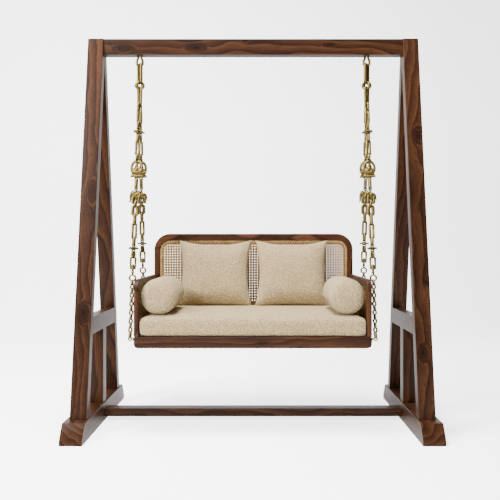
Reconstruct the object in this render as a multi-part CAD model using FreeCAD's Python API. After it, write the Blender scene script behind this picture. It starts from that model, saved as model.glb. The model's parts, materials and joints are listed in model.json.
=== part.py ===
import FreeCAD, Part
import math
import os

# A free-standing swing of dark wood: two braced end frames, a top beam and a floor
# stretcher carry a cane-backed seat on four ornamental brass chains.
# X runs left to right, Y front to back, Z up. The origin is on the floor, under the
# middle of the object. Millimetres.

V = FreeCAD.Vector

# End frames
foot_length = 922.0
foot_width = 112.0
foot_height = 97.0
foot_nose_height = 25.0
foot_nose_setback = 47.0
foot_inner_half_gap = 821.0
leg_inner_half_gap = 828.0
leg_width = 84.0
leg_depth = 56.0
leg_foot_reach = 361.0
leg_top_reach = 32.0
frame_height = 2109.0
mid_rail_bottom_height = 508.0
mid_rail_height = 89.0
mid_rail_thickness = 54.0
post_depth = 68.0
frame_edge_round = 3.0

# Beam and stretcher
beam_height = 87.0
beam_depth = 54.0
stretcher_height = 44.0
stretcher_depth = 73.0
stretcher_clearance = 23.0

# Tenons that hold the frame timbers together
tenon_thickness = 24.0
tenon_height = 46.0
tenon_length = 38.0

# Staples under the beam
staple_bar = 9.0
staple_loop_width = 33.0
staple_neck_width = 17.0
staple_drop = 53.5
staple_neck_drop = 10.0
staple_shoulder_drop = 26.0
staple_shank = 56.0
staple_bend = 8.0
staple_neck_bend = 9.0

# Chains
running_gap = 0.3
arm_to_chain_gap = 24.0
ring_side_gap = 4.0
ring_seat_gap = 6.0
hanger_drop = 100.0
front_anchor_reach = 277.0
back_anchor_reach = 144.0
lower_pivot_height = 788.5
heavy_wire = 9.5
middle_wire = 8.5
light_wire = 7.5
drop_wire = 5.4
hanger_width = 46.0
hanger_corner = 11.0
round_inner = 34.0
round_width = 50.0
oval_inner = 93.0
oval_width = 32.0
short_inner = 34.0
short_width = 29.0
tiny_inner = 26.0
long_inner = 80.0
long_width = 27.0
long_corner = 7.0
narrow_inner = 50.0
narrow_width = 29.0
braid_inner = 49.0
braid_width = 38.0
braid_wire = 10.0
loop_inner = 28.0
loop_width = 36.0
drop_inner = 21.5
drop_width = 20.0
front_drop_count = 12
back_drop_count = 11
end_inner = 28.0
end_width = 24.0
eye_radius = 8.5
eye_wire = 6.5
disc_reach = 40.0
disc_diameter = 46.0
disc_rim = 2.4
disc_hub = 12.0
disc_depth = 9.0
figure_reach = 114.0
figure_ring_radius = 29.0
figure_ring_wire = 9.0
figure_plate_thickness = 6.0
figure_base_width = 62.0
figure_base_height = 12.0
figure_base_depth = 16.0
figure_bust_radius = 10.0
elephant_reach = 76.0
elephant_length = 64.0
elephant_height = 74.0
elephant_stem = 8.0
elephant_plate_thickness = 11.0
elephant_head_radius = 9.5
torso_radius = 13.5
saddle_width = 24.0
saddle_thickness = 1.5
shackle_width = 33.0
shackle_wire = 7.0
shackle_throat = 46.0
collar_radius = 11.0
collar_height = 19.0
swivel_stem = 8.0
swivel_head = 14.0
swivel_head_height = 6.0
swivel_neck = 30.0
end_ring_radius = 15.5
end_ring_wire = 8.0
anchor_radius = 8.5
anchor_wire = 6.0
anchor_shank = 8.0
anchor_bite = 20.0
anchor_collar = 22.0
anchor_collar_thickness = 3.0
anchor_height = 488.0

# Seat frame
seat_half_width = 608.0
seat_front_reach = 300.0
seat_back_reach = 360.0
seat_bottom_height = 443.0
seat_rail_height = 59.0
seat_front_rail_thickness = 38.0
seat_front_corner = 25.0
seat_plan_corner = 18.0
side_rail_thickness = 26.0
slat_count = 12
slat_width = 68.0
slat_thickness = 16.0
slat_housing = 10.0

# Arms and back
arm_top_height = 792.0
arm_rail_height = 38.0
arm_post_depth = 38.0
arm_corner = 62.0
back_thickness = 30.0
back_top_height = 1038.0
back_rail_height = 38.0
back_stile_width = 31.0
back_corner = 98.0
back_lower_rail_level_height = 560.0
wood_round = 5.0
cane_thickness = 3.0
cane_groove = 6.0
cane_setback = 7.0
cane_margin = 28.0
cane_frame_thickness = 11.0
groove_gap = 0.2

# Cushions
soft_gap = 0.3
cushion_height = 101.0
cushion_crown = 9.0
cushion_corner = 26.0
pillow_width = 440.0
pillow_height = 404.0
pillow_thickness = 128.0
pillow_foot_reach = 193.0
pillow_head_reach = 310.0
pillow_place = 231.0
bolster_diameter = 187.0
bolster_length = 392.0
bolster_dome = 48.0
bolster_front_reach = 276.0

# Inset of a cushion's outline at shares of its height, as shares of its crown run
cushion_level_shares = (0.0, 0.05, 0.18, 0.5, 0.82, 0.92, 0.975, 1.0)
cushion_inset_shares = (0.055, 0.018, 0.004, 0.0, 0.006, 0.026, 0.07, 0.15)
cushion_crown_run = 170.0
# Size and sag of a pillow's outline at shares of its half thickness
pillow_level_shares = (0.0, 0.1, 0.26, 0.46, 0.66, 0.83, 0.95, 1.0)
pillow_size_shares = (1.0, 0.975, 0.925, 0.84, 0.72, 0.55, 0.34, 0.12)
pillow_sag_shares = (-0.055, -0.05, -0.035, -0.01, 0.02, 0.05, 0.08, 0.1)
# Radius of a bolster's end at shares of its dome
dome_level_shares = (0.0, 0.08, 0.25, 0.5, 0.75, 1.0)
dome_radius_shares = (0.3, 0.52, 0.73, 0.88, 0.97, 1.0)

# Outline of the elephant as shares of its length and height, trunk to the left
elephant_outline_shares = (
    (0.02, 0.46), (0.07, 0.44), (0.09, 0.54), (0.12, 0.58), (0.11, 0.40), (0.06, 0.18),
    (0.02, 0.08), (0.06, 0.02), (0.12, 0.06), (0.17, 0.20), (0.19, 0.38), (0.21, 0.38),
    (0.20, 0.00), (0.34, 0.00), (0.34, 0.34), (0.68, 0.34), (0.68, 0.00), (0.84, 0.00),
    (0.88, 0.36), (0.93, 0.28), (0.97, 0.16), (0.99, 0.18), (0.97, 0.42), (0.93, 0.62),
    (0.85, 0.76), (0.70, 0.82), (0.44, 0.84), (0.36, 0.97), (0.24, 1.00), (0.13, 0.90),
    (0.06, 0.72))

torso_chest_share = -0.08
torso_rump_share = 0.26
torso_level_share = 0.58
head_place_share = -0.27
head_level_share = 0.76
elephant_rise_share = 0.9

foot_outer = foot_inner_half_gap + foot_width
leg_outer = leg_inner_half_gap + leg_width
seat_top = seat_bottom_height + seat_rail_height
back_face = seat_back_reach - back_thickness
side_inner = seat_half_width - side_rail_thickness
beam_bottom = frame_height - beam_height
hinge_level = beam_bottom - staple_drop
upper_pivot_level = hinge_level - hanger_drop
staple_half_gap = seat_half_width + arm_to_chain_gap
cushion_bed = seat_top + soft_gap


def box(x0, x1, y0, y1, z0, z1):
    return Part.makeBox(x1 - x0, y1 - y0, z1 - z0, V(x0, y0, z0))


def plate(points, direction):
    """Solid from a closed outline, pushed along a direction."""
    wire = Part.makePolygon(list(points) + [points[0]])
    return Part.Face(wire).extrude(direction)


def rounded_rectangle(x0, x1, z0, z1, corner, y, bottom_corner=None):
    """Closed outline in an XZ plane with round upper corners and, if given, lower ones."""
    low = corner if bottom_corner is None else bottom_corner
    edges = []
    turn = math.sqrt(0.5)

    def run(a, b):
        if (a - b).Length > 0:
            edges.append(Part.LineSegment(a, b).toShape())

    def bend(cx, cz, radius, start):
        if radius > 0:
            points = []
            for step in (0, 1, 2):
                angle = math.radians(start + 45 * step)
                points.append(V(cx + radius * math.cos(angle), y, cz + radius * math.sin(angle)))
            edges.append(Part.Arc(points[0], points[1], points[2]).toShape())

    run(V(x0 + low, y, z0), V(x1 - low, y, z0))
    bend(x1 - low, z0 + low, low, 270)
    run(V(x1, y, z0 + low), V(x1, y, z1 - corner))
    bend(x1 - corner, z1 - corner, corner, 0)
    run(V(x1 - corner, y, z1), V(x0 + corner, y, z1))
    bend(x0 + corner, z1 - corner, corner, 90)
    run(V(x0, y, z1 - corner), V(x0, y, z0 + low))
    bend(x0 + low, z0 + low, low, 180)
    return Part.Wire(edges)


def rounded_slab(x0, x1, y0, y1, z0, z1, corner, bottom_corner=None):
    face = Part.Face(rounded_rectangle(x0, x1, z0, z1, corner, y0, bottom_corner))
    return face.extrude(V(0, y1 - y0, 0))


def soften(shape, radius, wanted):
    """Round the edges whose middle point and direction are wanted."""
    picked = []
    for edge in shape.Edges:
        middle = edge.valueAt((edge.FirstParameter + edge.LastParameter) / 2)
        if wanted(edge, middle):
            picked.append(edge)
    return shape.makeFillet(radius, picked)


def runs_along(edge, axis):
    """True for a straight edge along the axis."""
    if edge.Curve.TypeId != "Part::GeomLine":
        return False
    return abs(edge.tangentAt(edge.FirstParameter).dot(axis)) > 0.98


def bent_bar(points, radii, wire):
    """Round bar along straight runs joined by tangent arcs."""
    edges = []
    here = points[0]
    for before, corner, after, radius in zip(points, points[1:], points[2:], radii):
        into = (corner - before).normalize()
        out = (after - corner).normalize()
        turn = into.getAngle(out)
        cut = radius * math.tan(turn / 2)
        start = corner - into * cut
        end = corner + out * cut
        inward = (out - into).normalize()
        centre = corner + inward * (radius / math.cos(turn / 2))
        middle = centre - inward * radius
        if (start - here).Length > 1e-6 * radius:
            edges.append(Part.LineSegment(here, start).toShape())
        edges.append(Part.Arc(start, middle, end).toShape())
        here = end
    edges.append(Part.LineSegment(here, points[-1]).toShape())
    path = Part.Wire(edges)
    heading = edges[0].tangentAt(edges[0].FirstParameter)
    ring = Part.Wire(Part.makeCircle(wire / 2, points[0], heading))
    return path.makePipeShell([ring], True, False)


def chain_link(inner, width, wire, corner, turn):
    """Closed link, its top bearing at the origin, hanging down along -Z."""
    half = (width - wire) / 2
    top = wire / 2
    bottom = -inner - wire / 2
    radius = min(corner, half)
    path = rounded_rectangle(-half, half, bottom, top, radius, 0)
    section = Part.Wire(Part.makeCircle(wire / 2, V(half, 0, bottom + radius), V(0, 0, 1)))
    link = path.makePipeShell([section], True, False)
    link.rotate(V(0, 0, 0), V(0, 0, 1), turn)
    return link


def eye(level):
    """Small cast eye in the XZ plane, centred at a level."""
    return Part.makeTorus(eye_radius, eye_wire / 2, V(0, 0, level), V(0, 1, 0))


def eyes_and_neck(reach):
    """Upper and lower eye of an ornament and the core between them."""
    seat = eye_radius - eye_wire / 2
    upper = -seat
    lower = -reach + seat
    core = Part.makeCylinder(eye_wire / 2, upper - lower - 2 * eye_radius,
                             V(0, 0, lower + eye_radius))
    return eye(upper).fuse([eye(lower), core])


def disc_ornament():
    middle = -disc_reach / 2
    hub = disc_hub / 2
    rim = disc_diameter / 2
    slope = (disc_depth - disc_rim) / 2
    parts = [Part.makeCylinder(rim, disc_rim, V(0, 0, middle - disc_rim / 2)),
             Part.makeCone(rim, hub, slope, V(0, 0, middle + disc_rim / 2)),
             Part.makeCone(hub, rim, slope, V(0, 0, middle - disc_rim / 2 - slope))]
    return eyes_and_neck(disc_reach).fuse(parts).removeSplitter()


def figure_ornament():
    """Round frame with a seated figure in its lower half, on a base bar."""
    seat = eye_radius - eye_wire / 2
    top = -seat - eye_radius
    centre = top - figure_ring_radius
    ring = Part.makeTorus(figure_ring_radius, figure_ring_wire / 2, V(0, 0, centre), V(0, 1, 0))
    disc = Part.makeCylinder(figure_ring_radius, figure_plate_thickness,
                             V(0, -figure_plate_thickness / 2, centre), V(0, 1, 0))
    lower = box(-figure_ring_radius, figure_ring_radius, -figure_plate_thickness, figure_plate_thickness,
                centre - figure_ring_radius, centre - figure_bust_radius / 2)
    halo = disc.common(lower)
    bust = Part.makeSphere(figure_bust_radius, V(0, 0, centre))
    lap = Part.makeCone(figure_base_width / 2, figure_bust_radius, figure_ring_radius,
                        V(0, 0, centre - figure_ring_radius))
    depth_slab = box(-figure_base_width, figure_base_width, -figure_base_depth / 2,
                     figure_base_depth / 2, centre - figure_ring_radius, centre)
    lap = lap.common(depth_slab)
    base_top = centre - figure_ring_radius - figure_ring_wire / 2
    base = box(-figure_base_width / 2, figure_base_width / 2, -figure_base_depth / 2,
               figure_base_depth / 2, base_top - figure_base_height,
               base_top + figure_ring_wire / 2)
    low_eye = -figure_reach + seat
    stem = Part.makeCylinder(eye_wire / 2, base_top - low_eye - eye_radius,
                             V(0, 0, low_eye + eye_radius))
    body = ring.fuse([halo, bust, lap, base, stem, eye(-seat), eye(low_eye)])
    return body.removeSplitter()


def elephant_ornament():
    """Standing elephant with a saddle cloth, an eye above and an eye below."""
    seat = eye_radius - eye_wire / 2
    floor = -seat - elephant_rise_share * eye_radius - elephant_height
    points = []
    for along_share, up_share in elephant_outline_shares:
        points.append(V((along_share - 0.5) * elephant_length, -elephant_plate_thickness / 2,
                        floor + up_share * elephant_height))
    body = plate(points, V(0, elephant_plate_thickness, 0))
    chest = torso_chest_share * elephant_length
    rump = torso_rump_share * elephant_length
    level = floor + torso_level_share * elephant_height
    torso = [Part.makeCylinder(torso_radius, rump - chest, V(chest, 0, level), V(1, 0, 0)),
             Part.makeSphere(torso_radius, V(chest, 0, level)),
             Part.makeSphere(torso_radius, V(rump, 0, level)),
             Part.makeSphere(elephant_head_radius,
                             V(head_place_share * elephant_length, 0,
                               floor + head_level_share * elephant_height))]
    saddle = box(-saddle_width / 2, saddle_width / 2, -elephant_plate_thickness / 2, elephant_plate_thickness / 2,
                 level, -seat - eye_radius)
    cloth = Part.makeCylinder(torso_radius + saddle_thickness, saddle_width,
                              V(-saddle_width / 2, 0, level), V(1, 0, 0))
    low = -elephant_reach + seat
    stem = Part.makeCylinder(elephant_stem / 2, level - low - eye_radius, V(0, 0, low + eye_radius))
    return body.fuse(torso + [saddle, cloth, stem, eye(-seat), eye(low)]).removeSplitter()


def swivel_shackle():
    """Bow with a bored collar, its top bearing at the origin."""
    half = (shackle_width - shackle_wire) / 2
    top = shackle_wire / 2
    collar_top = -shackle_throat
    foot = collar_top - collar_height / 2
    edges = [Part.LineSegment(V(half, 0, foot), V(half, 0, top - half)).toShape(),
             Part.Arc(V(half, 0, top - half), V(0, 0, top), V(-half, 0, top - half)).toShape(),
             Part.LineSegment(V(-half, 0, top - half), V(-half, 0, foot)).toShape()]
    section = Part.Wire(Part.makeCircle(shackle_wire / 2, V(half, 0, foot), V(0, 0, 1)))
    bow = Part.Wire(edges).makePipeShell([section], True, False)
    collar = Part.makeCylinder(collar_radius, collar_height, V(0, 0, collar_top - collar_height))
    wing = box(-half, half, -shackle_wire / 2, shackle_wire / 2,
               collar_top - collar_height, collar_top)
    ends = [Part.makeCylinder(shackle_wire / 2, collar_height,
                              V(x, 0, collar_top - collar_height)) for x in (-half, half)]
    bore = Part.makeCylinder(swivel_stem / 2 + running_gap, collar_height * 2,
                             V(0, 0, collar_top - collar_height * 1.5))
    return bow.fuse([collar, wing] + ends).cut(bore).removeSplitter()


def swivel_ring():
    """Headed stem that turns in the shackle's collar, with the end ring under it."""
    head_base = -shackle_throat + running_gap
    neck = -shackle_throat - collar_height - swivel_neck
    centre = neck - end_ring_radius
    head = Part.makeCylinder(swivel_head / 2, swivel_head_height, V(0, 0, head_base))
    stem = Part.makeCylinder(swivel_stem / 2, head_base - neck, V(0, 0, neck))
    knob = Part.makeSphere(swivel_head / 2, V(0, 0, (neck - shackle_throat - collar_height) / 2))
    ring = Part.makeTorus(end_ring_radius, end_ring_wire / 2, V(0, 0, centre), V(0, 1, 0))
    return ring.fuse([head, stem, knob]).removeSplitter()


swivel_reach = (shackle_throat + collar_height + swivel_neck + 2 * end_ring_radius
                - end_ring_wire / 2)

# Upper run of every chain from the hanger link down: piece and its turn in degrees.
LINK_SIZES = {
    "round": (round_inner, round_width, heavy_wire, round_width),
    "oval": (oval_inner, oval_width, heavy_wire, oval_width),
    "short": (short_inner, short_width, middle_wire, short_width),
    "tiny": (tiny_inner, short_width, light_wire, short_width),
    "long": (long_inner, long_width, light_wire, long_corner),
    "narrow": (narrow_inner, narrow_width, middle_wire, narrow_width),
    "braid": (braid_inner, braid_width, braid_wire, braid_width),
    "loop": (loop_inner, loop_width, light_wire, loop_width),
    "drop": (drop_inner, drop_width, drop_wire, drop_width),
    "end": (end_inner, end_width, drop_wire, end_width),
}
FIXED_PIECES = {
    "disc": (disc_reach, disc_ornament),
    "figure": (figure_reach, figure_ornament),
    "elephant": (elephant_reach, elephant_ornament),
}
UPPER_RUN = (
    ("round", -36), ("oval", 40), ("short", -55), ("long", 20), ("short", -75),
    ("disc", 0), ("short", -85), ("long", 10), ("tiny", 90), ("figure", 0),
    ("narrow", 90), ("elephant", 0), ("tiny", 90), ("braid", 0), ("narrow", 90),
    ("long", 0), ("short", 90), ("disc", 0), ("loop", -75), ("swivel", 0),
)


def hang_pieces(run, start, length):
    """Place a run of pieces along -Z so that the plain links take up the length."""
    plain = 0.0
    fixed = 0.0
    for kind, turn in run:
        if kind in LINK_SIZES:
            plain += LINK_SIZES[kind][0]
        elif kind == "swivel":
            fixed += swivel_reach
        else:
            fixed += FIXED_PIECES[kind][0]
    stretch = (length - fixed + running_gap * len(run)) / plain
    level = start
    placed = []
    for kind, turn in run:
        if kind in LINK_SIZES:
            inner, width, wire, corner = LINK_SIZES[kind]
            reach = inner * stretch
            shapes = [chain_link(reach, width, wire, corner, turn)]
        elif kind == "swivel":
            reach = swivel_reach
            shapes = [swivel_shackle(), swivel_ring()]
        else:
            reach, make = FIXED_PIECES[kind]
            shapes = [make()]
        for shape in shapes:
            shape.translate(V(0, 0, -level))
        placed.append((kind, shapes))
        level += reach - running_gap
    return placed


def drop_run(count, turn):
    """Small links beside the arm, each a quarter turn on, and the end link in its eye."""
    run = []
    for index in range(count):
        run.append(("drop", turn if index % 2 == 0 else 90 - turn))
    return run + [("end", 90)]


def chain_pieces(end, side):
    """Upper and lower run of one chain, leaned and placed in the object."""
    if end == "front":
        offset, anchor_reach, count, upper_run = -1, front_anchor_reach, front_drop_count, UPPER_RUN
    else:
        offset, anchor_reach, count = 1, back_anchor_reach, back_drop_count
        upper_run = UPPER_RUN + (("drop", 90),)
    fall = upper_pivot_level - (anchor_height + anchor_radius - anchor_wire / 2)
    lean = math.atan2(anchor_reach - ring_seat_gap, fall)
    length = math.hypot(anchor_reach - ring_seat_gap, fall)
    start = -heavy_wire / 2 - running_gap
    parting = (upper_pivot_level - lower_pivot_height) / math.cos(lean)
    parting += drop_wire / 2 if end == "front" else -drop_wire / 2 - running_gap
    upper = hang_pieces(upper_run, start, parting - start)
    lower = hang_pieces(drop_run(count, 90 if end == "front" else 0), parting, length - parting)
    placed = []
    for pieces in (upper, lower):
        for kind, shapes in pieces:
            for shape in shapes:
                shape.rotate(V(0, 0, 0), V(1, 0, 0), math.degrees(lean) * offset)
                shape.translate(V(chain_line(offset), offset * ring_seat_gap, upper_pivot_level))
        placed.append([(kind, [on_side(kind, shape, side, offset) for shape in shapes])
                       for kind, shapes in pieces])
    return placed


def on_side(kind, shape, side, offset):
    """A piece of the right-hand chain on its side; every elephant faces the same way."""
    if kind == "elephant" and side < 0:
        return shape.translated(V(-2 * chain_line(offset), 0, 0))
    return mirrored(shape, side)


def chain_line(offset):
    """Distance of a front (-1) or back (1) chain on the right from the middle plane."""
    return staple_half_gap + offset * ring_side_gap


def hanger_link(side):
    """Link on the staple that carries the front and the back chain of one side."""
    inner = hanger_drop + staple_bar / 2 + running_gap - heavy_wire / 2
    turn = math.degrees(math.atan2(ring_seat_gap, ring_side_gap))
    link = chain_link(inner, hanger_width, heavy_wire, hanger_corner, turn)
    link.translate(V(staple_half_gap, 0, hinge_level + staple_bar / 2 + running_gap))
    return mirrored(link, side)


def make_foot(side):
    half = foot_length / 2
    points = [V(0, -half, 0), V(0, half, 0), V(0, half, foot_nose_height),
              V(0, half - foot_nose_setback, foot_height),
              V(0, foot_nose_setback - half, foot_height), V(0, -half, foot_nose_height)]
    body = plate(points, V(foot_width, 0, 0))
    body = soften(body, frame_edge_round, lambda e, m: m.z > 0 and abs(m.x - foot_width / 2) > 0)
    body.translate(V(foot_inner_half_gap, 0, 0))
    return mirrored(body, side)


def mirrored(shape, side):
    """The right-hand shape, or its mirror image on the left."""
    return shape if side > 0 else shape.mirror(V(0, 0, 0), V(1, 0, 0))


def leg_face(level):
    """Distance of a leg's outer face from the middle plane at a level."""
    share = (level - foot_height) / (frame_height - foot_height)
    return leg_foot_reach + share * (leg_top_reach - leg_foot_reach)


def make_leg(side, way):
    foot_face = leg_face(foot_height)
    top_face = leg_face(frame_height)
    meet = foot_height + ((foot_face - leg_depth) / (foot_face - top_face)
                          * (frame_height - foot_height))
    points = [V(0, foot_face, foot_height), V(0, top_face, frame_height),
              V(0, 0, frame_height), V(0, 0, meet), V(0, foot_face - leg_depth, foot_height)]
    body = plate(points, V(leg_width, 0, 0))
    body = soften(body, frame_edge_round, lambda e, m: m.y > 0 and e.Length > frame_height / 2)
    body.translate(V(leg_inner_half_gap, 0, 0))
    body = body.fuse(leg_tenon()).removeSplitter()
    if way < 0:
        body = body.mirror(V(0, 0, 0), V(0, 1, 0))
    return mirrored(body, side)


def leg_tenon():
    """Tenon under the leg that stands in the foot."""
    middle = leg_face(foot_height) - leg_depth / 2
    x = leg_inner_half_gap + leg_width / 2
    return box(x - tenon_thickness / 2, x + tenon_thickness / 2, middle - tenon_thickness / 2,
               middle + tenon_thickness / 2, foot_height - tenon_length, foot_height)


def beam_tenon():
    """Tenon at the right end of the beam, in both legs of that side."""
    middle = frame_height - beam_height / 2
    return box(leg_inner_half_gap, leg_inner_half_gap + tenon_length, -tenon_thickness / 2,
               tenon_thickness / 2, middle - tenon_height / 2, middle + tenon_height / 2)


def rail_outline(grow, low, high, x):
    """Outline of the mid rail between the sloping legs, in a plane across X."""
    a = leg_face(low) - leg_depth + grow
    b = leg_face(high) - leg_depth + grow
    return [V(x, -a, low), V(x, a, low), V(x, b, high), V(x, -b, high)]


def rail_tenon():
    """Tenons at both ends of the right mid rail."""
    middle = mid_rail_bottom_height + mid_rail_height / 2
    x = leg_inner_half_gap + mid_rail_thickness / 2 - tenon_thickness / 2
    return plate(rail_outline(tenon_thickness, middle - tenon_height / 2,
                              middle + tenon_height / 2, x), V(tenon_thickness, 0, 0))


def post_tenons():
    """Tenons at the ends of the right centre post."""
    x = leg_inner_half_gap + mid_rail_thickness / 2
    return [box(x - tenon_thickness / 2, x + tenon_thickness / 2, -tenon_thickness / 2,
                tenon_thickness / 2, low, high)
            for low, high in ((foot_height - tenon_length, foot_height),
                              (mid_rail_bottom_height, mid_rail_bottom_height + tenon_length))]


def stretcher_tenon():
    middle = stretcher_clearance + stretcher_height / 2
    return box(foot_inner_half_gap, foot_inner_half_gap + tenon_length, -tenon_height / 2,
               tenon_height / 2, middle - tenon_thickness / 2, middle + tenon_thickness / 2)


def frame_nodes():
    nodes = {}
    for name, side in (("left", -1), ("right", 1)):
        foot_cuts = [stretcher_tenon(), post_tenons()[0], leg_tenon(),
                     leg_tenon().mirror(V(0, 0, 0), V(0, 1, 0))]
        cuts = [mirrored(cut, side) for cut in foot_cuts]
        nodes[name + "_foot"] = make_foot(side).cut(cuts)
        for end, way in (("front", -1), ("back", 1)):
            leg = make_leg(side, way)
            cuts = [mirrored(beam_tenon(), side), mirrored(rail_tenon(), side)]
            nodes[name + "_" + end + "_leg"] = leg.cut(cuts)
        rail = plate(rail_outline(0, mid_rail_bottom_height, mid_rail_bottom_height + mid_rail_height,
                                  leg_inner_half_gap), V(mid_rail_thickness, 0, 0))
        rail = rail.fuse(rail_tenon()).cut(post_tenons()[1]).removeSplitter()
        nodes[name + "_mid_rail"] = mirrored(rail, side)
        post = box(leg_inner_half_gap, leg_outer, -post_depth / 2, post_depth / 2,
                   foot_height, mid_rail_bottom_height)
        post = soften(post, frame_edge_round, lambda e, m: runs_along(e, V(0, 0, 1)))
        post = post.fuse(post_tenons()).removeSplitter()
        nodes[name + "_centre_post"] = mirrored(post, side)
    beam = box(-leg_inner_half_gap, leg_inner_half_gap, -beam_depth / 2, beam_depth / 2,
               beam_bottom, frame_height)
    beam = soften(beam, frame_edge_round, lambda e, m: runs_along(e, V(1, 0, 0)))
    beam = beam.fuse([beam_tenon(), mirrored(beam_tenon(), -1)]).removeSplitter()
    bores = []
    for side in (-1, 1):
        for x in (-staple_neck_width / 2, staple_neck_width / 2):
            bores.append(Part.makeCylinder(staple_bar / 2, staple_shank,
                                           V(side * staple_half_gap + x, 0, beam_bottom)))
    nodes["top_beam"] = beam.cut(bores)
    half = stretcher_depth / 2
    stretcher = box(-foot_inner_half_gap, foot_inner_half_gap, -half, half,
                    stretcher_clearance, stretcher_clearance + stretcher_height)
    stretcher = soften(stretcher, frame_edge_round, lambda e, m: runs_along(e, V(1, 0, 0)))
    tenons = [stretcher_tenon(), mirrored(stretcher_tenon(), -1)]
    nodes["floor_stretcher"] = stretcher.fuse(tenons).removeSplitter()
    nodes["beam_staples"] = Part.makeCompound([make_staple(-1), make_staple(1)])
    return nodes


def make_staple(side):
    neck = staple_neck_width / 2
    loop = staple_loop_width / 2
    points = [V(-neck, 0, beam_bottom + staple_shank),
              V(-neck, 0, beam_bottom - staple_neck_drop),
              V(-loop, 0, beam_bottom - staple_shoulder_drop), V(-loop, 0, hinge_level),
              V(loop, 0, hinge_level), V(loop, 0, beam_bottom - staple_shoulder_drop),
              V(neck, 0, beam_bottom - staple_neck_drop),
              V(neck, 0, beam_bottom + staple_shank)]
    radii = [staple_neck_bend, staple_neck_bend, staple_bend, staple_bend,
             staple_neck_bend, staple_neck_bend]
    bar = bent_bar(points, radii, staple_bar)
    bar.translate(V(side * staple_half_gap, 0, 0))
    return bar


def chain_nodes():
    nodes = {}
    for side_name, side in (("left", -1), ("right", 1)):
        drops = []
        for end in ("front", "back"):
            name = end + "_" + side_name
            upper, lower = chain_pieces(end, side)
            groups = {}
            for kind, shapes in upper:
                group = kind if kind in ("figure", "elephant", "swivel") else "links"
                group = "discs" if kind == "disc" else group
                groups.setdefault(name + "_" + group, []).extend(shapes)
            for node, shapes in groups.items():
                nodes[node] = shapes[0] if len(shapes) == 1 else Part.makeCompound(shapes)
            for kind, shapes in lower:
                drops.extend(shapes)
        nodes[side_name + "_drop_links"] = Part.makeCompound(drops)
    nodes["hanger_links"] = Part.makeCompound([hanger_link(-1), hanger_link(1)])
    return nodes


def anchor_bolts():
    """Eye bolts in the side rails, one for each chain."""
    bolts = []
    for side in (-1, 1):
        for offset, reach in ((-1, front_anchor_reach), (1, back_anchor_reach)):
            x = chain_line(offset)
            y = offset * reach
            ring = Part.makeTorus(anchor_radius, anchor_wire / 2, V(x, y, anchor_height), V(0, 1, 0))
            shank = Part.makeCylinder(anchor_shank / 2,
                                      x - anchor_radius - seat_half_width + anchor_bite,
                                      V(seat_half_width - anchor_bite, y, anchor_height), V(1, 0, 0))
            collar = Part.makeCylinder(anchor_collar / 2, anchor_collar_thickness,
                                       V(seat_half_width, y, anchor_height), V(1, 0, 0))
            bolts.append(mirrored(ring.fuse([shank, collar]).removeSplitter(), side))
    return bolts


def anchor_bores():
    bores = []
    for side in (-1, 1):
        for y in (-front_anchor_reach, back_anchor_reach):
            bore = Part.makeCylinder(anchor_shank / 2, anchor_bite,
                                     V(seat_half_width - anchor_bite, y, anchor_height), V(1, 0, 0))
            bores.append(mirrored(bore, side))
    return bores


def slat_boxes():
    """Slats from front to back, let into the front and back rails."""
    front = -seat_front_reach + seat_front_rail_thickness - slat_housing
    back = back_face + slat_housing
    span = 2 * side_inner
    pitch = span / slat_count
    slats = []
    for index in range(slat_count):
        x = -side_inner + (index + 0.5) * pitch
        slats.append(box(x - slat_width / 2, x + slat_width / 2, front, back,
                         seat_top - slat_thickness, seat_top))
    return slats


def arm_frame(x0, x1):
    """Post and top rail of the right arm in one outline, before they are parted."""
    outline = rounded_rectangle(-seat_front_reach, back_face, seat_top, arm_top_height, arm_corner, 0, 0)
    inner = rounded_rectangle(-seat_front_reach + arm_post_depth, back_face + arm_corner,
                              seat_top - arm_corner, arm_top_height - arm_rail_height,
                              arm_corner - arm_rail_height, 0, 0)
    square = box(0, back_face, 0, arm_corner, arm_top_height - arm_corner, arm_top_height)
    outer = Part.Face(outline).extrude(V(0, x1 - x0, 0)).fuse(
        square_slab(0, back_face, x1 - x0, arm_top_height - arm_corner, arm_top_height)).removeSplitter()
    body = outer.cut(Part.Face(inner).extrude(V(0, x1 - x0, 0)))
    return stand_along_y(body, x0)


def square_slab(x0, x1, depth, z0, z1):
    return box(x0, x1, 0, depth, z0, z1)


def stand_along_y(shape, x0):
    """Turn a shape drawn in the XZ plane so that its X runs along Y, starting at x0."""
    shape.rotate(V(0, 0, 0), V(0, 0, 1), 90)
    shape = shape.mirror(V(0, 0, 0), V(1, 0, 0))
    shape.translate(V(x0, 0, 0))
    return shape


def arm_nodes():
    nodes = {}
    middle = (seat_half_width + side_inner) / 2
    joint = arm_top_height - arm_corner
    whole = arm_frame(side_inner, seat_half_width)
    whole = soften(whole, wood_round, lambda e, m: on_arm_rim(e, m))
    whole = whole.common(seat_plan())
    cane = arm_cane(middle, 0)
    slot = arm_cane(middle, groove_gap)
    reach = seat_front_reach + seat_back_reach
    below = box(0, 2 * seat_half_width, -reach, reach, 0, joint)
    for name, side in (("left", -1), ("right", 1)):
        post = whole.common(below).cut(slot)
        rail = whole.cut(below).cut(slot)
        nodes[name + "_arm_post"] = mirrored(post, side)
        nodes[name + "_arm_rail"] = mirrored(rail, side)
        nodes[name + "_arm_cane"] = mirrored(cane, side)
    return nodes


def seat_plan():
    """Outline of the seat seen from above, with rounded front corners, as a tall slab."""
    wire = rounded_rectangle(-seat_half_width, seat_half_width, -seat_front_reach,
                             2 * seat_back_reach, seat_plan_corner, 0)
    return Part.Face(laid_flat(wire, 0)).extrude(V(0, 0, back_top_height))


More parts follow.
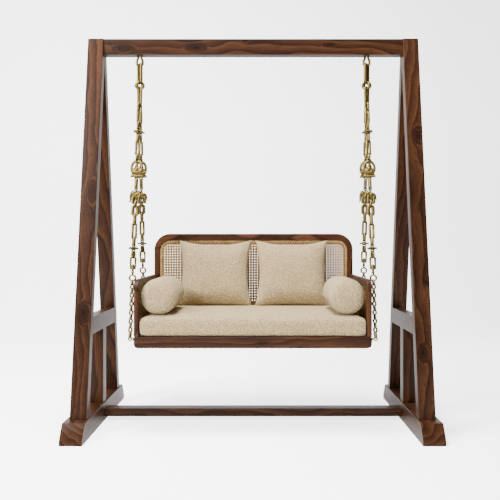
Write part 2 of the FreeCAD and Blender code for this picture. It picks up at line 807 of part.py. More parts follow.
def on_arm_rim(edge, middle):
    """Edges round the outer rim of the arm, along its front and top."""
    flat = abs(edge.tangentAt(edge.FirstParameter).x) < 0.01
    inside = middle.y > -seat_front_reach + arm_post_depth / 2 and middle.z < arm_top_height - arm_rail_height / 2
    corner_bulge = arm_corner * (1 - math.sqrt(0.5))
    at_end = middle.y > back_face - corner_bulge / 2
    at_foot = middle.z < seat_top + corner_bulge / 2
    return flat and not inside and not at_end and not at_foot


def arm_cane(middle, gap):
    """Thin cane panel of the right arm, let into grooves all round."""
    half = cane_thickness / 2 + gap
    edge = cane_groove + gap
    return box(middle - half, middle + half, -seat_front_reach + arm_post_depth - edge,
               back_face + edge, seat_top - edge, arm_top_height - arm_rail_height + edge)


def back_outline(inset_side, inset_top, bottom, corner, y):
    x = seat_half_width - inset_side
    return rounded_rectangle(-x, x, bottom, back_top_height - inset_top, corner, y, 0)


def back_nodes():
    nodes = {}
    depth = V(0, back_thickness, 0)
    outer = Part.Face(back_outline(0, 0, seat_bottom_height, back_corner, back_face)).extrude(depth)
    inner_corner = back_corner - (back_rail_height + back_stile_width) / 2
    inner = Part.Face(back_outline(back_stile_width, back_rail_height, seat_bottom_height,
                                   inner_corner, back_face)).extrude(depth)
    arch = outer.cut(inner)
    arch = soften(arch, wood_round, lambda e, m: on_back_rim(e, m))
    cane_face = back_face + cane_setback
    opening = back_lower_rail_level_height + back_rail_height
    panel = back_panel(-cane_groove, opening - cane_groove, cane_face, cane_thickness)
    slot = back_panel(-cane_groove - groove_gap, opening - cane_groove - groove_gap,
                      cane_face - groove_gap, cane_thickness + 2 * groove_gap)
    joint = back_top_height - back_corner
    reach = seat_half_width + seat_back_reach
    below = box(-reach, reach, 0, reach, 0, joint)
    left = box(-reach, 0, 0, reach, 0, joint)
    slots = [slot]
    middle = (seat_half_width + side_inner) / 2
    side_slot = arm_cane(middle, groove_gap)
    slots += [side_slot, mirrored(side_slot, -1)]
    nodes["back_top_rail"] = arch.cut(below).cut(slots)
    stiles = arch.common(below).cut(slots)
    nodes["back_left_stile"] = stiles.common(left)
    nodes["back_right_stile"] = stiles.cut(left)
    x = seat_half_width - back_stile_width
    lower = box(-x, x, back_face, seat_back_reach, back_lower_rail_level_height, opening)
    nodes["back_lower_rail"] = lower.cut(slot)
    nodes["back_cane"] = panel
    nodes["back_cane_frame"] = cane_ledge(opening, cane_face + cane_thickness)
    return nodes


def back_panel(grow, bottom, y, thickness):
    """Panel with the outline of the back's opening, grown or shrunk all round."""
    corner = back_corner - (back_rail_height + back_stile_width) / 2 - grow
    wire = back_outline(back_stile_width + grow, back_rail_height + grow, bottom, corner, y)
    return Part.Face(wire).extrude(V(0, thickness, 0))


def cane_ledge(opening, y):
    """Frame behind the rim of the cane, inside the stiles and rails."""
    ring = back_panel(0, opening, y, cane_frame_thickness)
    hole = back_panel(cane_margin, opening + cane_margin, y, cane_frame_thickness)
    return ring.cut(hole)


def on_back_rim(edge, middle):
    """Edges round the outer rim of the back, along its stiles and top."""
    flat = abs(edge.tangentAt(edge.FirstParameter).y) < 0.01
    bulge = back_corner * (1 - math.sqrt(0.5))
    side = seat_half_width - back_stile_width / 2
    at_side = abs(middle.x) > side
    at_top = middle.z > back_top_height - back_rail_height / 2
    dx = abs(middle.x) - (seat_half_width - back_corner)
    dz = middle.z - (back_top_height - back_corner)
    at_corner = dx > bulge and dz > bulge and math.hypot(dx, dz) > back_corner - wood_round
    at_foot = middle.z < seat_bottom_height + wood_round
    return flat and (at_side or at_top or at_corner) and not at_foot


def seat_nodes():
    nodes = {}
    slats = slat_boxes()
    bores = anchor_bores()
    front = rounded_slab(-seat_half_width, seat_half_width, -seat_front_reach,
                         -seat_front_reach + seat_front_rail_thickness, seat_bottom_height, seat_top,
                         seat_front_corner)
    front = soften(front, wood_round, lambda e, m: m.y < -seat_front_reach + wood_round / 2)
    front = front.common(seat_plan())
    middle = (seat_half_width + side_inner) / 2
    slot = arm_cane(middle, groove_gap)
    slots = [slot, mirrored(slot, -1)]
    nodes["seat_front_rail"] = front.cut(slats + bores + slots)
    x = seat_half_width - back_stile_width
    back = box(-x, x, back_face, seat_back_reach, seat_bottom_height, seat_top)
    nodes["seat_back_rail"] = back.cut(slats)
    for name, side in (("left", -1), ("right", 1)):
        rail = mirrored(box(side_inner, seat_half_width, -seat_front_reach + seat_front_rail_thickness,
                            back_face, seat_bottom_height, seat_top), side)
        nodes["seat_" + name + "_rail"] = rail.cut(slots + bores)
    nodes["seat_slats"] = Part.makeCompound(slats)
    nodes["chain_eye_bolts"] = Part.makeCompound(anchor_bolts())
    return nodes


def four_arc_outline(half_w, half_h, sag_share, level):
    """Outline through four corners whose sides bow out or in by a share of their size."""
    sag_w = sag_share * half_w
    sag_h = sag_share * half_h
    corners = [V(-half_w, -half_h, level), V(half_w, -half_h, level),
               V(half_w, half_h, level), V(-half_w, half_h, level)]
    middles = [V(0, -half_h - sag_h, level), V(half_w + sag_w, 0, level),
               V(0, half_h + sag_h, level), V(-half_w - sag_w, 0, level)]
    edges = []
    for index in range(4):
        edges.append(Part.Arc(corners[index], middles[index],
                              corners[(index + 1) % 4]).toShape())
    return Part.Wire(edges)


def pillow(place):
    """Square pillow with pointed corners and drawn-in sides, leaning on the back."""
    half = pillow_thickness / 2
    rows = list(zip(pillow_level_shares, pillow_size_shares, pillow_sag_shares))
    sections = []
    for level_share, size_share, sag_share in reversed(rows):
        sections.append(four_arc_outline(pillow_width / 2 * size_share,
                                         pillow_height / 2 * size_share, sag_share,
                                         -half * level_share))
    for level_share, size_share, sag_share in rows[1:]:
        sections.append(four_arc_outline(pillow_width / 2 * size_share,
                                         pillow_height / 2 * size_share, sag_share,
                                         half * level_share))
    body = Part.makeLoft(sections, True, True)
    lean = math.asin((pillow_head_reach - pillow_foot_reach) / pillow_height)
    body.rotate(V(0, 0, 0), V(1, 0, 0), 90 - math.degrees(lean))
    bed = crown_level(back_face - soft_gap - pillow_foot_reach) + soft_gap
    body.translate(V(place, (pillow_head_reach + pillow_foot_reach) / 2,
                     bed + pillow_height / 2 * math.cos(lean)))
    return body


def crown_level(inset):
    """Height of the seat cushion's top at a distance in from its nearest edge."""
    shoulder = cushion_inset_shares[-1] * cushion_crown_run
    rise_share = (inset - shoulder) / (cushion_crown_run - shoulder)
    return cushion_bed + cushion_height + cushion_crown * min(rise_share, 1)


def seat_cushion():
    """Thick seat cushion with a crowned top and drawn-in edges."""
    x = side_inner - soft_gap
    y0 = -seat_front_reach + soft_gap
    y1 = back_face - soft_gap
    height = cushion_height + cushion_crown
    sections = []
    for level_share, inset_share in zip(cushion_level_shares, cushion_inset_shares):
        inset = inset_share * cushion_crown_run
        level = cushion_bed + level_share * cushion_height
        wire = rounded_rectangle(-x + inset, x - inset, y0 + inset, y1 - inset,
                                 cushion_corner, 0)
        sections.append(laid_flat(wire, level))
    top = rounded_rectangle(-x + cushion_crown_run, x - cushion_crown_run,
                            y0 + cushion_crown_run, y1 - cushion_crown_run,
                            cushion_corner, 0)
    sections.append(laid_flat(top, cushion_bed + height))
    return Part.makeLoft(sections, True, True)


def laid_flat(wire, level):
    """Lay an outline drawn in the XZ plane flat, its Z along Y, at a level."""
    wire.rotate(V(0, 0, 0), V(1, 0, 0), -90)
    wire.translate(V(0, 0, level))
    return wire


def bolster(side):
    """Cylinder with domed ends, lying front to back beside the arm."""
    radius = bolster_diameter / 2
    x = side_inner - soft_gap - radius
    y0 = -bolster_front_reach
    slope = math.atan2(cushion_crown, cushion_crown_run * (1 - cushion_inset_shares[-1]))
    bed = crown_level(radius) + soft_gap + radius * (1 / math.cos(slope) - 1)
    levels = []
    for level_share, radius_share in zip(dome_level_shares, dome_radius_shares):
        levels.append((bolster_dome * level_share, radius * radius_share))
    mirror_levels = [(bolster_length - run, r) for run, r in reversed(levels)]
    sections = []
    for run, r in levels + mirror_levels:
        sections.append(quarter_circle_wire(x, y0 + run, bed + radius, r))
    return mirrored(Part.makeLoft(sections, True, True), side)


def quarter_circle_wire(x, y, z, radius):
    edges = []
    for quarter in range(4):
        points = []
        for step in (0, 1, 2):
            angle = math.radians(90 * quarter + 45 * step)
            points.append(V(x + radius * math.cos(angle), y, z + radius * math.sin(angle)))
        edges.append(Part.Arc(points[0], points[1], points[2]).toShape())
    return Part.Wire(edges)


def soft_nodes():
    return {
        "seat_cushion": seat_cushion(),
        "left_back_cushion": pillow(-pillow_place),
        "right_back_cushion": pillow(pillow_place),
        "left_bolster": bolster(-1),
        "right_bolster": bolster(1),
    }


def main():
    os.makedirs("parts", exist_ok=True)
    nodes = {}
    for group in (frame_nodes(), chain_nodes(), seat_nodes(), arm_nodes(), back_nodes(),
                  soft_nodes()):
        nodes.update(group)
    for name, shape in sorted(nodes.items()):
        shape.exportStep("parts/" + name + ".step")
        box_size = shape.BoundBox
        print(name, len(shape.Solids), shape.isValid(), round(shape.Volume),
              [round(value, 1) for value in (box_size.XMin, box_size.XMax, box_size.YMin,
                                             box_size.YMax, box_size.ZMin, box_size.ZMax)])


main()
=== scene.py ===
import json
import math
import bmesh
import bpy
import numpy as np
from mathutils import Matrix, Vector


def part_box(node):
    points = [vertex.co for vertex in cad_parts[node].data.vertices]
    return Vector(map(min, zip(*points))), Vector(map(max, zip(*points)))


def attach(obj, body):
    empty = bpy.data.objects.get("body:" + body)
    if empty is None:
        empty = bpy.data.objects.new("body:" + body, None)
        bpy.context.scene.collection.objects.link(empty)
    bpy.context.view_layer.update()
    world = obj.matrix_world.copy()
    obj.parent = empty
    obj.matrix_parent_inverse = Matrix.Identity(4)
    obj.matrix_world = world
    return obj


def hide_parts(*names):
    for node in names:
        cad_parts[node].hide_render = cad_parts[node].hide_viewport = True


# A cane-backed swing seat with boucle cushions, hung on antique brass chains from a
# dark rosewood stand. Metres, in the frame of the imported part.
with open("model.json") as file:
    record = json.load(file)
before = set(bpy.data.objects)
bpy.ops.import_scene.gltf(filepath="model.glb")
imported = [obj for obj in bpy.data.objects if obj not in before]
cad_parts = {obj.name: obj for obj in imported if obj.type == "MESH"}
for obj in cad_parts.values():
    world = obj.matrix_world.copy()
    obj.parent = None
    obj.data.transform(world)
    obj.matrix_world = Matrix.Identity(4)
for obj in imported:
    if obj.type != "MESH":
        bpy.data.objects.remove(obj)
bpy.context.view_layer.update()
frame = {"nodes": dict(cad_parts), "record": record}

MM = 0.001
MILLIMETRES = Matrix.Diagonal((MM, MM, MM, 1))
QUARTER = math.pi / 2
TIMBER_EDGE, BRASS_EDGE = 35, 50        # degrees above which an edge stays sharp
SIDES = {"left": -1, "right": 1}
# Lean about X of the front and the back chains, from the hanger link down to their eye bolts
LEAN = {"front": -math.atan2(271, 1375), "back": math.atan2(138, 1375)}


# ---- meshes and pieces ----

def add_object(name, mesh):
    piece = bpy.data.objects.new(name, mesh)
    bpy.context.scene.collection.objects.link(piece)
    return piece


def mesh_of(name, work):
    """Turn a bmesh into a mesh."""
    mesh = bpy.data.meshes.new(name)
    work.to_mesh(mesh)
    work.free()
    return mesh


def joined(meshes):
    """One bmesh from several meshes, which are used up."""
    whole = bmesh.new()
    for mesh in meshes:
        whole.from_mesh(mesh)
        bpy.data.meshes.remove(mesh)
    return whole


def tidy_mesh(mesh, smooth=True, angle=None):
    """Merge doubles, turn the faces outwards, shade them, and mark edges above the angle."""
    work = bmesh.new()
    work.from_mesh(mesh)
    bmesh.ops.remove_doubles(work, verts=work.verts, dist=1e-6)
    bmesh.ops.recalc_face_normals(work, faces=work.faces)
    for face in work.faces:
        face.smooth = smooth
    if angle is not None:
        for edge in work.edges:
            if len(edge.link_faces) == 2 and edge.calc_face_angle(0.0) > angle:
                edge.smooth = False
    work.to_mesh(mesh)
    work.free()


def mesh_from(name, vertices, faces, smooth=True):
    mesh = bpy.data.meshes.new(name)
    mesh.from_pydata(vertices, [], faces)
    tidy_mesh(mesh, smooth)
    return mesh


def shade_smooth(mesh):
    for polygon in mesh.polygons:
        polygon.use_smooth = True


def skin(rows, closed):
    """Vertices and faces through rings of points; a closed skin joins the last to the first."""
    count = len(rows[0])
    faces = []
    for row in range(len(rows) if closed else len(rows) - 1):
        here, there = row * count, (row + 1) % len(rows) * count
        for k in range(count):
            n = (k + 1) % count
            faces.append((here + k, here + n, there + n, there + k))
    return [point for row in rows for point in row], faces


def span(corners):
    """Lowest and highest corner of some points."""
    return [Vector([pick(co[axis] for co in corners) for axis in range(3)])
            for pick in (min, max)]


def middle_of(low, high):
    return [(a + b) / 2 for a, b in zip(low, high)]


def apply_modifiers(piece):
    graph = bpy.context.evaluated_depsgraph_get()
    mesh = bpy.data.meshes.new_from_object(piece.evaluated_get(graph), depsgraph=graph)
    piece.modifiers.clear()
    old = piece.data
    piece.data = mesh
    bpy.data.meshes.remove(old)


def dress(piece, material, body, node_name=None):
    """Give a piece its finish and its body, and hide the CAD node that it stands in for, if any.
    """
    piece.data.materials.clear()
    piece.data.materials.append(material)
    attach(piece, body)
    if node_name:
        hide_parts(node_name)


def body_of_node(name):
    for body, nodes in frame["record"]["behaviour"]["bodies"].items():
        if name in nodes:
            return body
    raise KeyError(name)


def merged_copy(name, angle=None):
    """The mesh of a CAD node with its loose triangles merged."""
    mesh = frame["nodes"][name].data.copy()
    mesh.transform(frame["nodes"][name].matrix_world)
    tidy_mesh(mesh, angle=angle)
    return mesh


def smooth_copy(name, material, body, angle=TIMBER_EDGE):
    """A copy of a CAD node with smooth shading, in place of the node."""
    piece = add_object(name + "_shaded", merged_copy(name, math.radians(angle)))
    dress(piece, material, body, name)
    return piece


def islands_of(mesh):
    """Vertex numbers of each separate solid of a merged mesh."""
    parent = list(range(len(mesh.vertices)))

    def root(k):
        while parent[k] != k:
            parent[k] = parent[parent[k]]
            k = parent[k]
        return k

    for edge in mesh.edges:
        a, b = root(edge.vertices[0]), root(edge.vertices[1])
        parent[a] = b
    groups = {}
    for k in range(len(mesh.vertices)):
        groups.setdefault(root(k), []).append(k)
    return list(groups.values())


def node_islands(name):
    """Middles of the separate solids of a CAD node."""
    mesh = merged_copy(name)
    middles = []
    for points in islands_of(mesh):
        low, high = span([mesh.vertices[k].co for k in points])
        middles.append((low + high) / 2)
    bpy.data.meshes.remove(mesh)
    return middles


# ---- node trees ----

def new_group(name, inputs, outputs, kind="ShaderNodeTree"):
    """A node group; each socket has a label, a kind and perhaps a starting value."""
    group = bpy.data.node_groups.new(name, kind)
    for way, sockets in (("INPUT", inputs), ("OUTPUT", outputs)):
        for label, carries, *value in sockets:
            socket = group.interface.new_socket(label, in_out=way,
                                                socket_type="NodeSocket" + carries)
            if value:
                socket.default_value = value[0]
    return group, group.nodes.new("NodeGroupInput").outputs, group.nodes.new("NodeGroupOutput")


def plug(tree, socket, value):
    """Set an input, or link it where the value is the output of another node."""
    if isinstance(value, bpy.types.NodeSocket):
        tree.links.new(value, socket)
    else:
        socket.default_value = value


def feed(tree, made, **values):
    for label, value in values.items():
        plug(tree, made.inputs[label.replace("_", " ")], value)


def node(tree, kind, *terms, **values):
    """Add a node with its settings, terms on its first inputs, and inputs by label."""
    made = tree.nodes.new(kind)
    for key in [key for key in values if hasattr(made, key)]:
        setattr(made, key, values.pop(key))
    for socket, term in zip(made.inputs, terms):
        plug(tree, socket, term)
    feed(tree, made, **values)
    return made


def noise(tree, where, **values):
    return node(tree, "ShaderNodeTexNoise", Vector=where, **values)


def sums(tree, operation, *terms):
    return node(tree, "ShaderNodeMath", *terms, operation=operation).outputs[0]


def vector_sums(tree, operation, *terms, **values):
    made = node(tree, "ShaderNodeVectorMath", *terms, operation=operation, **values)
    return made.outputs["Value" if operation == "LENGTH" else "Vector"]


def map_range(tree, value, **values):
    return node(tree, "ShaderNodeMapRange", Value=value, **values).outputs["Result"]


def ramp(tree, value, stops):
    """Colours along a value."""
    made = node(tree, "ShaderNodeValToRGB", Fac=value)
    elements = made.color_ramp.elements
    while len(elements) > 1:
        elements.remove(elements[-1])
    elements[0].position, elements[0].color = stops[0][0], (*stops[0][1], 1)
    for place, colour in stops[1:]:
        elements.new(place).color = (*colour, 1)
    return made.outputs["Color"]


def multiplied(tree, colour, layer, amount):
    made = node(tree, "ShaderNodeMix", data_type="RGBA", blend_type="MULTIPLY", Factor=amount,
                A=colour, B=layer)
    return made.outputs["Result"]


def shader(name, **values):
    """A material, its tree and surface, and the coordinates on the piece."""
    material = bpy.data.materials.new(name)
    material.use_nodes = True
    tree = material.node_tree
    surface = tree.nodes["Principled BSDF"]
    feed(tree, surface, **values)
    return material, tree, surface, node(tree, "ShaderNodeTexCoord").outputs["Object"]


def bumped(tree, surface, height, strength, distance):
    bump = node(tree, "ShaderNodeBump", Strength=strength, Distance=distance, Height=height)
    feed(tree, surface, Normal=bump.outputs["Normal"])


# ---- finishes ----

def grain_group():
    """Timber grain along local Z: colour, roughness and height."""
    group, start, end = new_group(
        "rosewood_grain", [("Vector", "Vector"), ("Knot", "Float", 0.0), ("Tone", "Float", 1.0)],
        [("Color", "Color"), ("Roughness", "Float"), ("Height", "Float")])

    def drawn_out(along):
        return node(group, "ShaderNodeMapping", Vector=start["Vector"],
                    Scale=(1, 1, along)).outputs[0]

    sway = noise(group, drawn_out(0.30), Scale=3.2, Detail=3.0, Roughness=0.55)
    shift = vector_sums(group, "MULTIPLY_ADD", sway.outputs["Color"], (0.30, 0.30, 0.0),
                        drawn_out(0.10))
    bulge = vector_sums(group, "MULTIPLY_ADD", start["Knot"], (0.10, 0.10, 0.0), shift)
    rings = node(group, "ShaderNodeTexWave", wave_type="RINGS", rings_direction="Z",
                 wave_profile="SAW", Vector=bulge, Scale=7.5, Distortion=1.2, Detail=3.0,
                 Detail_Scale=2.2)
    edge, dark = (0.010, 0.0036, 0.0016), (0.023, 0.0081, 0.0035)
    colour = ramp(group, rings.outputs["Fac"], [
        (0.0, edge), (0.12, dark), (0.45, (0.032, 0.0117, 0.0047)),
        (0.85, (0.048, 0.0190, 0.0077)), (0.97, dark), (1.0, edge)])
    zones = noise(group, drawn_out(0.12), Scale=9.0, Detail=4.0, Roughness=0.6)
    heart = ramp(group, zones.outputs["Fac"], [
        (0.34, (0.64, 0.60, 0.58)), (0.48, (0.97, 0.97, 0.97)), (0.68, (1.25, 1.22, 1.18))])
    pores = noise(group, drawn_out(0.035), Scale=260.0, Detail=3.0, Roughness=0.7).outputs["Fac"]
    lines = ramp(group, pores, [
        (0.34, (0.38, 0.34, 0.34)), (0.48, (1, 1, 1)), (0.70, (1.30, 1.24, 1.18))])
    pith = ramp(group, start["Knot"], [
        (0.10, (1, 1, 1)), (0.34, (0.50, 0.44, 0.42)), (0.60, (0.42, 0.36, 0.34)),
        (0.95, (0.22, 0.16, 0.14))])
    for layer in (heart, lines, pith):
        colour = multiplied(group, colour, layer, 0.85)
    # The tone scales the colour: a lighter copy is painted light on parts that fall in shade, a
    # darker one partly painted shade
    feed(group, end, Color=vector_sums(group, "SCALE", colour, Scale=start["Tone"]),
         Roughness=map_range(group, pores, To_Min=0.46, To_Max=0.34), Height=pores)
    return group


def knot_group():
    """Rise from 0 to 1 towards the middle of one knot."""
    group, start, end = new_group(
        "rosewood_knot", [("Vector", "Vector"), ("Place", "Vector"), ("Inverse radii", "Vector")],
        [("Amount", "Float")])
    away = vector_sums(group, "SUBTRACT", start["Vector"], start["Place"])
    length = vector_sums(group, "LENGTH",
                         vector_sums(group, "MULTIPLY", away, start["Inverse radii"]))
    feed(group, end, Amount=map_range(group, length, interpolation_type="SMOOTHSTEP",
                                      From_Min=1.0, From_Max=0.0))
    return group


def patina_group():
    """Worn brass: bright on rubbed places, brown in the hollows."""
    group, start, end = new_group("brass_patina", [("Vector", "Vector"), ("Size", "Float", 90.0)],
                                  [("Mask", "Float"), ("Height", "Float")])
    blotch = noise(group, start["Vector"], Scale=start["Size"], Detail=4.0, Roughness=0.6)
    ridge = map_range(group, node(group, "ShaderNodeNewGeometry").outputs["Pointiness"],
                      From_Min=0.42, From_Max=0.56)
    worn = node(group, "ShaderNodeMix", data_type="FLOAT", Factor=0.5, A=blotch.outputs["Fac"],
                B=ridge)
    fine = noise(group, start["Vector"], Scale=900.0, Detail=2.0)
    feed(group, end, Mask=worn.outputs["Result"], Height=fine.outputs["Fac"])
    return group


# Tones of lit and shaded copies of the rosewood: parts that fall in shade get a lighter tone,
# which is painted light, and the strongly lit rest a darker one, partly the wood's own colour and
# partly painted shade
TONE_FOR_LIT_PARTS, TONE_FOR_SHADED_PARTS = 0.80, 1.36
GRAIN, KNOT, PATINA = grain_group(), knot_group(), patina_group()


def timber(name, turn, place, knots=(), tone=TONE_FOR_LIT_PARTS):
    """Lacquered rosewood whose grain runs along Z after the given turn, with its knots; tone gives
    a lighter copy as painted light for parts in shade, or a darker one.
    """
    material, tree, surface, where = shader(name, IOR=1.18, Coat_Weight=0.03,
                                            Coat_Roughness=0.25, Coat_IOR=1.25)
    turned = node(tree, "ShaderNodeMapping", Vector=where, Rotation=turn, Location=place)
    grain = node(tree, "ShaderNodeGroup", node_tree=GRAIN, Vector=turned.outputs[0], Tone=tone)
    total = None
    for spot, radii in knots:
        knot = node(tree, "ShaderNodeGroup", node_tree=KNOT, Vector=where, Place=spot,
                    Inverse_radii=[1 / radius for radius in radii]).outputs["Amount"]
        total = knot if total is None else sums(tree, "ADD", total, knot)
    if total is not None:
        feed(tree, grain, Knot=total)
    feed(tree, surface, Base_Color=grain.outputs["Color"], Roughness=grain.outputs["Roughness"])
    bumped(tree, surface, grain.outputs["Height"], 0.12, 0.0006)
    return material


def antique_brass():
    material, tree, surface, where = shader("antique_brass", Metallic=1.0)
    patina = node(tree, "ShaderNodeGroup", node_tree=PATINA, Vector=where)
    mask = patina.outputs["Mask"]
    feed(tree, surface, Roughness=map_range(tree, mask, To_Min=0.58, To_Max=0.36),
         Base_Color=ramp(tree, mask, [
             (0.25, (0.021, 0.0135, 0.0036)), (0.45, (0.062, 0.042, 0.0115)),
             (0.70, (0.155, 0.110, 0.034))]))
    bumped(tree, surface, patina.outputs["Height"], 0.15, 0.0004)
    return material


def woven_cane(name, light, dark):
    """Fibrous strip or stick, from dark to light in patches."""
    material, tree, surface, where = shader(name, Roughness=0.55, Specular_IOR_Level=0.25)
    tone = noise(tree, where, Scale=60.0, Detail=4.0)
    feed(tree, surface, Base_Color=ramp(tree, tone.outputs["Fac"], [(0.3, dark), (0.7, light)]))
    fibre = noise(tree, where, Scale=700.0, Detail=2.0)
    bumped(tree, surface, fibre.outputs["Fac"], 0.2, 0.0004)
    return material


def boucle_cloth():
    """Cream boucle: small loops as bump, painted shade in the hollows between loops, and tone that
    changes over the piece.
    """
    material, tree, surface, where = shader("cream_boucle", Roughness=0.95, Sheen_Weight=0.12,
                                            Sheen_Roughness=0.5, Specular_IOR_Level=0.1)
    loops = node(tree, "ShaderNodeTexVoronoi", Vector=where, Scale=190.0, feature="SMOOTH_F1")
    curls = noise(tree, where, Scale=105.0, Detail=6.0, Roughness=0.72)
    height = sums(tree, "SUBTRACT", curls.outputs["Fac"], loops.outputs["Distance"])
    # Darker where the loops are low: painted shade in the hollows between them
    wool_with_hollow_shade = ramp(tree, height, [
        (0.0, (0.30, 0.215, 0.105)), (0.30, (0.515, 0.405, 0.222)), (0.65, (0.625, 0.507, 0.298))])
    broad = noise(tree, where, Scale=14.0, Detail=3.0)
    shade = ramp(tree, broad.outputs["Fac"], [(0.3, (0.90, 0.89, 0.87)), (0.7, (1, 1, 1))])
    feed(tree, surface, Base_Color=multiplied(tree, wool_with_hollow_shade, shade, 1.0))
    bumped(tree, surface, height, 1.0, 0.009)
    return material


# Middle and radii of each knot
LEG_KNOTS = (
    ((-0.87, -0.27, 0.62), (0.05, 0.06, 0.085)), ((-0.85, -0.16, 1.25), (0.04, 0.06, 0.10)),
    ((0.88, -0.10, 1.55), (0.045, 0.06, 0.09)), ((0.86, -0.30, 0.42), (0.04, 0.06, 0.07)))
BEAM_KNOTS = (
    ((-0.716, -0.03, 2.057), (0.085, 0.06, 0.033)), ((-0.316, -0.03, 2.062), (0.092, 0.06, 0.033)),
    ((-0.045, -0.03, 2.100), (0.030, 0.05, 0.018)), ((0.42, -0.03, 2.075), (0.06, 0.05, 0.018)),
    ((0.05, -0.30, 0.47), (0.05, 0.04, 0.014)), ((0.31, 0.33, 1.02), (0.05, 0.04, 0.012)))
UPRIGHT, ACROSS, DEEP = (0, 0, 0.3), (0.2, -QUARTER, 0), (QUARTER, 0.25, 0)
WOOD_ALONG_Z = timber("rosewood_upright", UPRIGHT, (0.31, 0.12, 0), LEG_KNOTS)
WOOD_ALONG_X = timber("rosewood_across", ACROSS, (0.7, 0.3, 0), BEAM_KNOTS)
WOOD_ALONG_Y = timber("rosewood_deep", DEEP, (0.2, 0.9, 0))
# Lighter copies with painted light, for the parts that fall in shade
SHADED_PARTS_ALONG_Z = timber("painted_light_upright", UPRIGHT, (0.11, 0.52, 0), tone=TONE_FOR_SHADED_PARTS)
SHADED_PARTS_ALONG_X = timber("painted_light_across", ACROSS, (0.7, 0.45, 0), tone=TONE_FOR_SHADED_PARTS)
BRASS = antique_brass()
CANE = woven_cane("natural_cane", (0.38, 0.225, 0.080), (0.20, 0.115, 0.036))
CANE_BORDER = woven_cane("cane_border", (0.40, 0.25, 0.10), (0.22, 0.125, 0.045))
# Near-black: painted shade in the holes of the cane border
HOLE_SHADE_PAINT = woven_cane("painted_hole_shade", (0.016, 0.007, 0.0035), (0.008, 0.0035, 0.002))
CANE_FRAME = woven_cane("cane_frame_wood", (0.20, 0.11, 0.052), (0.12, 0.06, 0.026))
BOUCLE = boucle_cloth()


# ---- timber and brass carried over from the CAD ----

TIMBER = (
    (WOOD_ALONG_X, ("top_beam", "floor_stretcher", "seat_front_rail", "seat_back_rail",
                    "back_lower_rail")),
    (WOOD_ALONG_Y, ("left_foot", "right_foot", "left_mid_rail", "right_mid_rail",
                    "seat_left_rail", "seat_right_rail", "seat_slats", "left_arm_rail",
                    "right_arm_rail")),
    (WOOD_ALONG_Z, ("left_front_leg", "left_back_leg", "right_front_leg", "right_back_leg",
                    "left_centre_post", "right_centre_post")),
    # Parts that fall in shade get the copies with painted light
    (SHADED_PARTS_ALONG_Z, ("left_arm_post", "right_arm_post", "back_left_stile", "back_right_stile")),
    (SHADED_PARTS_ALONG_X, ("back_top_rail",)))

# How much fuller each side of the wire is than its solid, in millimetres
GROWTH = {"hanger_links": 4.6, "beam_staples": 2.0, "chain_eye_bolts": 0.8,
          "left_drop_links": 3.0, "right_drop_links": 3.0}
PLAIN_GROWTH, SWIVEL_FOOT_GROWTH = 2.5, 0.3
BEARING, BEARING_BLEND = 5 * MM, 6 * MM     # plain ends of a link, and the change to fuller
SLIM_LINK, SLIM_SHARE = 11 * MM, 1.6        # a link seen edge-on is narrower, and gains more
# The inner sides gain more too, up to a share of the opening of the link
INNER_SHARE, OPENING_SHARE = 1.7, 0.45


def dress_timber():
    for material, nodes in TIMBER:
        for name in nodes:
            smooth_copy(name, material, body_of_node(name))


def thicken(mesh, growth, foot):
    """Fuller wire between the bearings of each link, most of all on its inner sides.

    growth is what each side gains at the top of a link, foot at its lower end.
    """
    moves = []
    for points in islands_of(mesh):
        corners = [mesh.vertices[k].co for k in points]
        middle = sum(corners, Vector()) / len(points)
        low, high = span(corners)
        slim = high.x - low.x < SLIM_LINK
        for k in points:
            vertex = mesh.vertices[k]
            clear = min(vertex.co.z - low.z, high.z - vertex.co.z) - BEARING
            share = max(0.0, min(1.0, clear / BEARING_BLEND))
            gain = foot + (growth - foot) * (vertex.co.z - low.z) / (high.z - low.z)
            fuller = gain * (SLIM_SHARE if slim else 1)
            move = Vector((vertex.normal.x, vertex.normal.y, 0)) * fuller * share
            away = Vector((vertex.co.x - middle.x, vertex.co.y - middle.y, 0))
            if away.length > 2 * MM and move.dot(away) < 0:
                room = OPENING_SHARE * away.length / max(move.length, 1e-6)
                move *= min(INNER_SHARE, room)
            moves.append((k, move))
    for k, move in moves:
        mesh.vertices[k].co += move


def dress_brass():
    for name in frame["nodes"]:
        kind = name.rsplit("_", 1)[-1]
        if kind in ("links", "swivel", "staples", "bolts"):
            piece = smooth_copy(name, BRASS, body_of_node(name), BRASS_EDGE)
            growth = GROWTH.get(name, PLAIN_GROWTH)
            foot = SWIVEL_FOOT_GROWTH if kind == "swivel" else growth
            thicken(piece.data, growth * MM, foot * MM)


# ---- copies laid out by geometry nodes ----

def copies_tree(name, inputs, lay_out):
    """Copies of one object on points, made real and painted."""
    tree, start, end = new_group(name, [("Copy", "Object"), *inputs, ("Material", "Material")],
                                 [("Geometry", "Geometry")], "GeometryNodeTree")
    copy = node(tree, "GeometryNodeObjectInfo", Object=start["Copy"])
    copies = node(tree, "GeometryNodeInstanceOnPoints", Instance=copy.outputs["Geometry"],
                  **lay_out(tree, start))
    real = node(tree, "GeometryNodeRealizeInstances", Geometry=copies.outputs["Instances"])
    paint = node(tree, "GeometryNodeSetMaterial", Geometry=real.outputs["Geometry"],
                 Material=start["Material"])
    feed(tree, end, Geometry=paint.outputs["Geometry"])
    return tree


def upright_grid(tree, start):
    """Points of a centred grid in the XZ plane."""
    def reach(count, pitch):
        return sums(tree, "MULTIPLY", sums(tree, "SUBTRACT", start[count], 1), start[pitch])

    grid = node(tree, "GeometryNodeMeshGrid", Size_X=reach("Columns", "Pitch across"),
                Size_Y=reach("Rows", "Pitch up"), Vertices_X=start["Columns"],
                Vertices_Y=start["Rows"])
    upright = node(tree, "GeometryNodeTransform", Geometry=grid.outputs["Mesh"],
                   Rotation=(QUARTER, 0, 0))
    return {"Points": upright.outputs["Geometry"]}


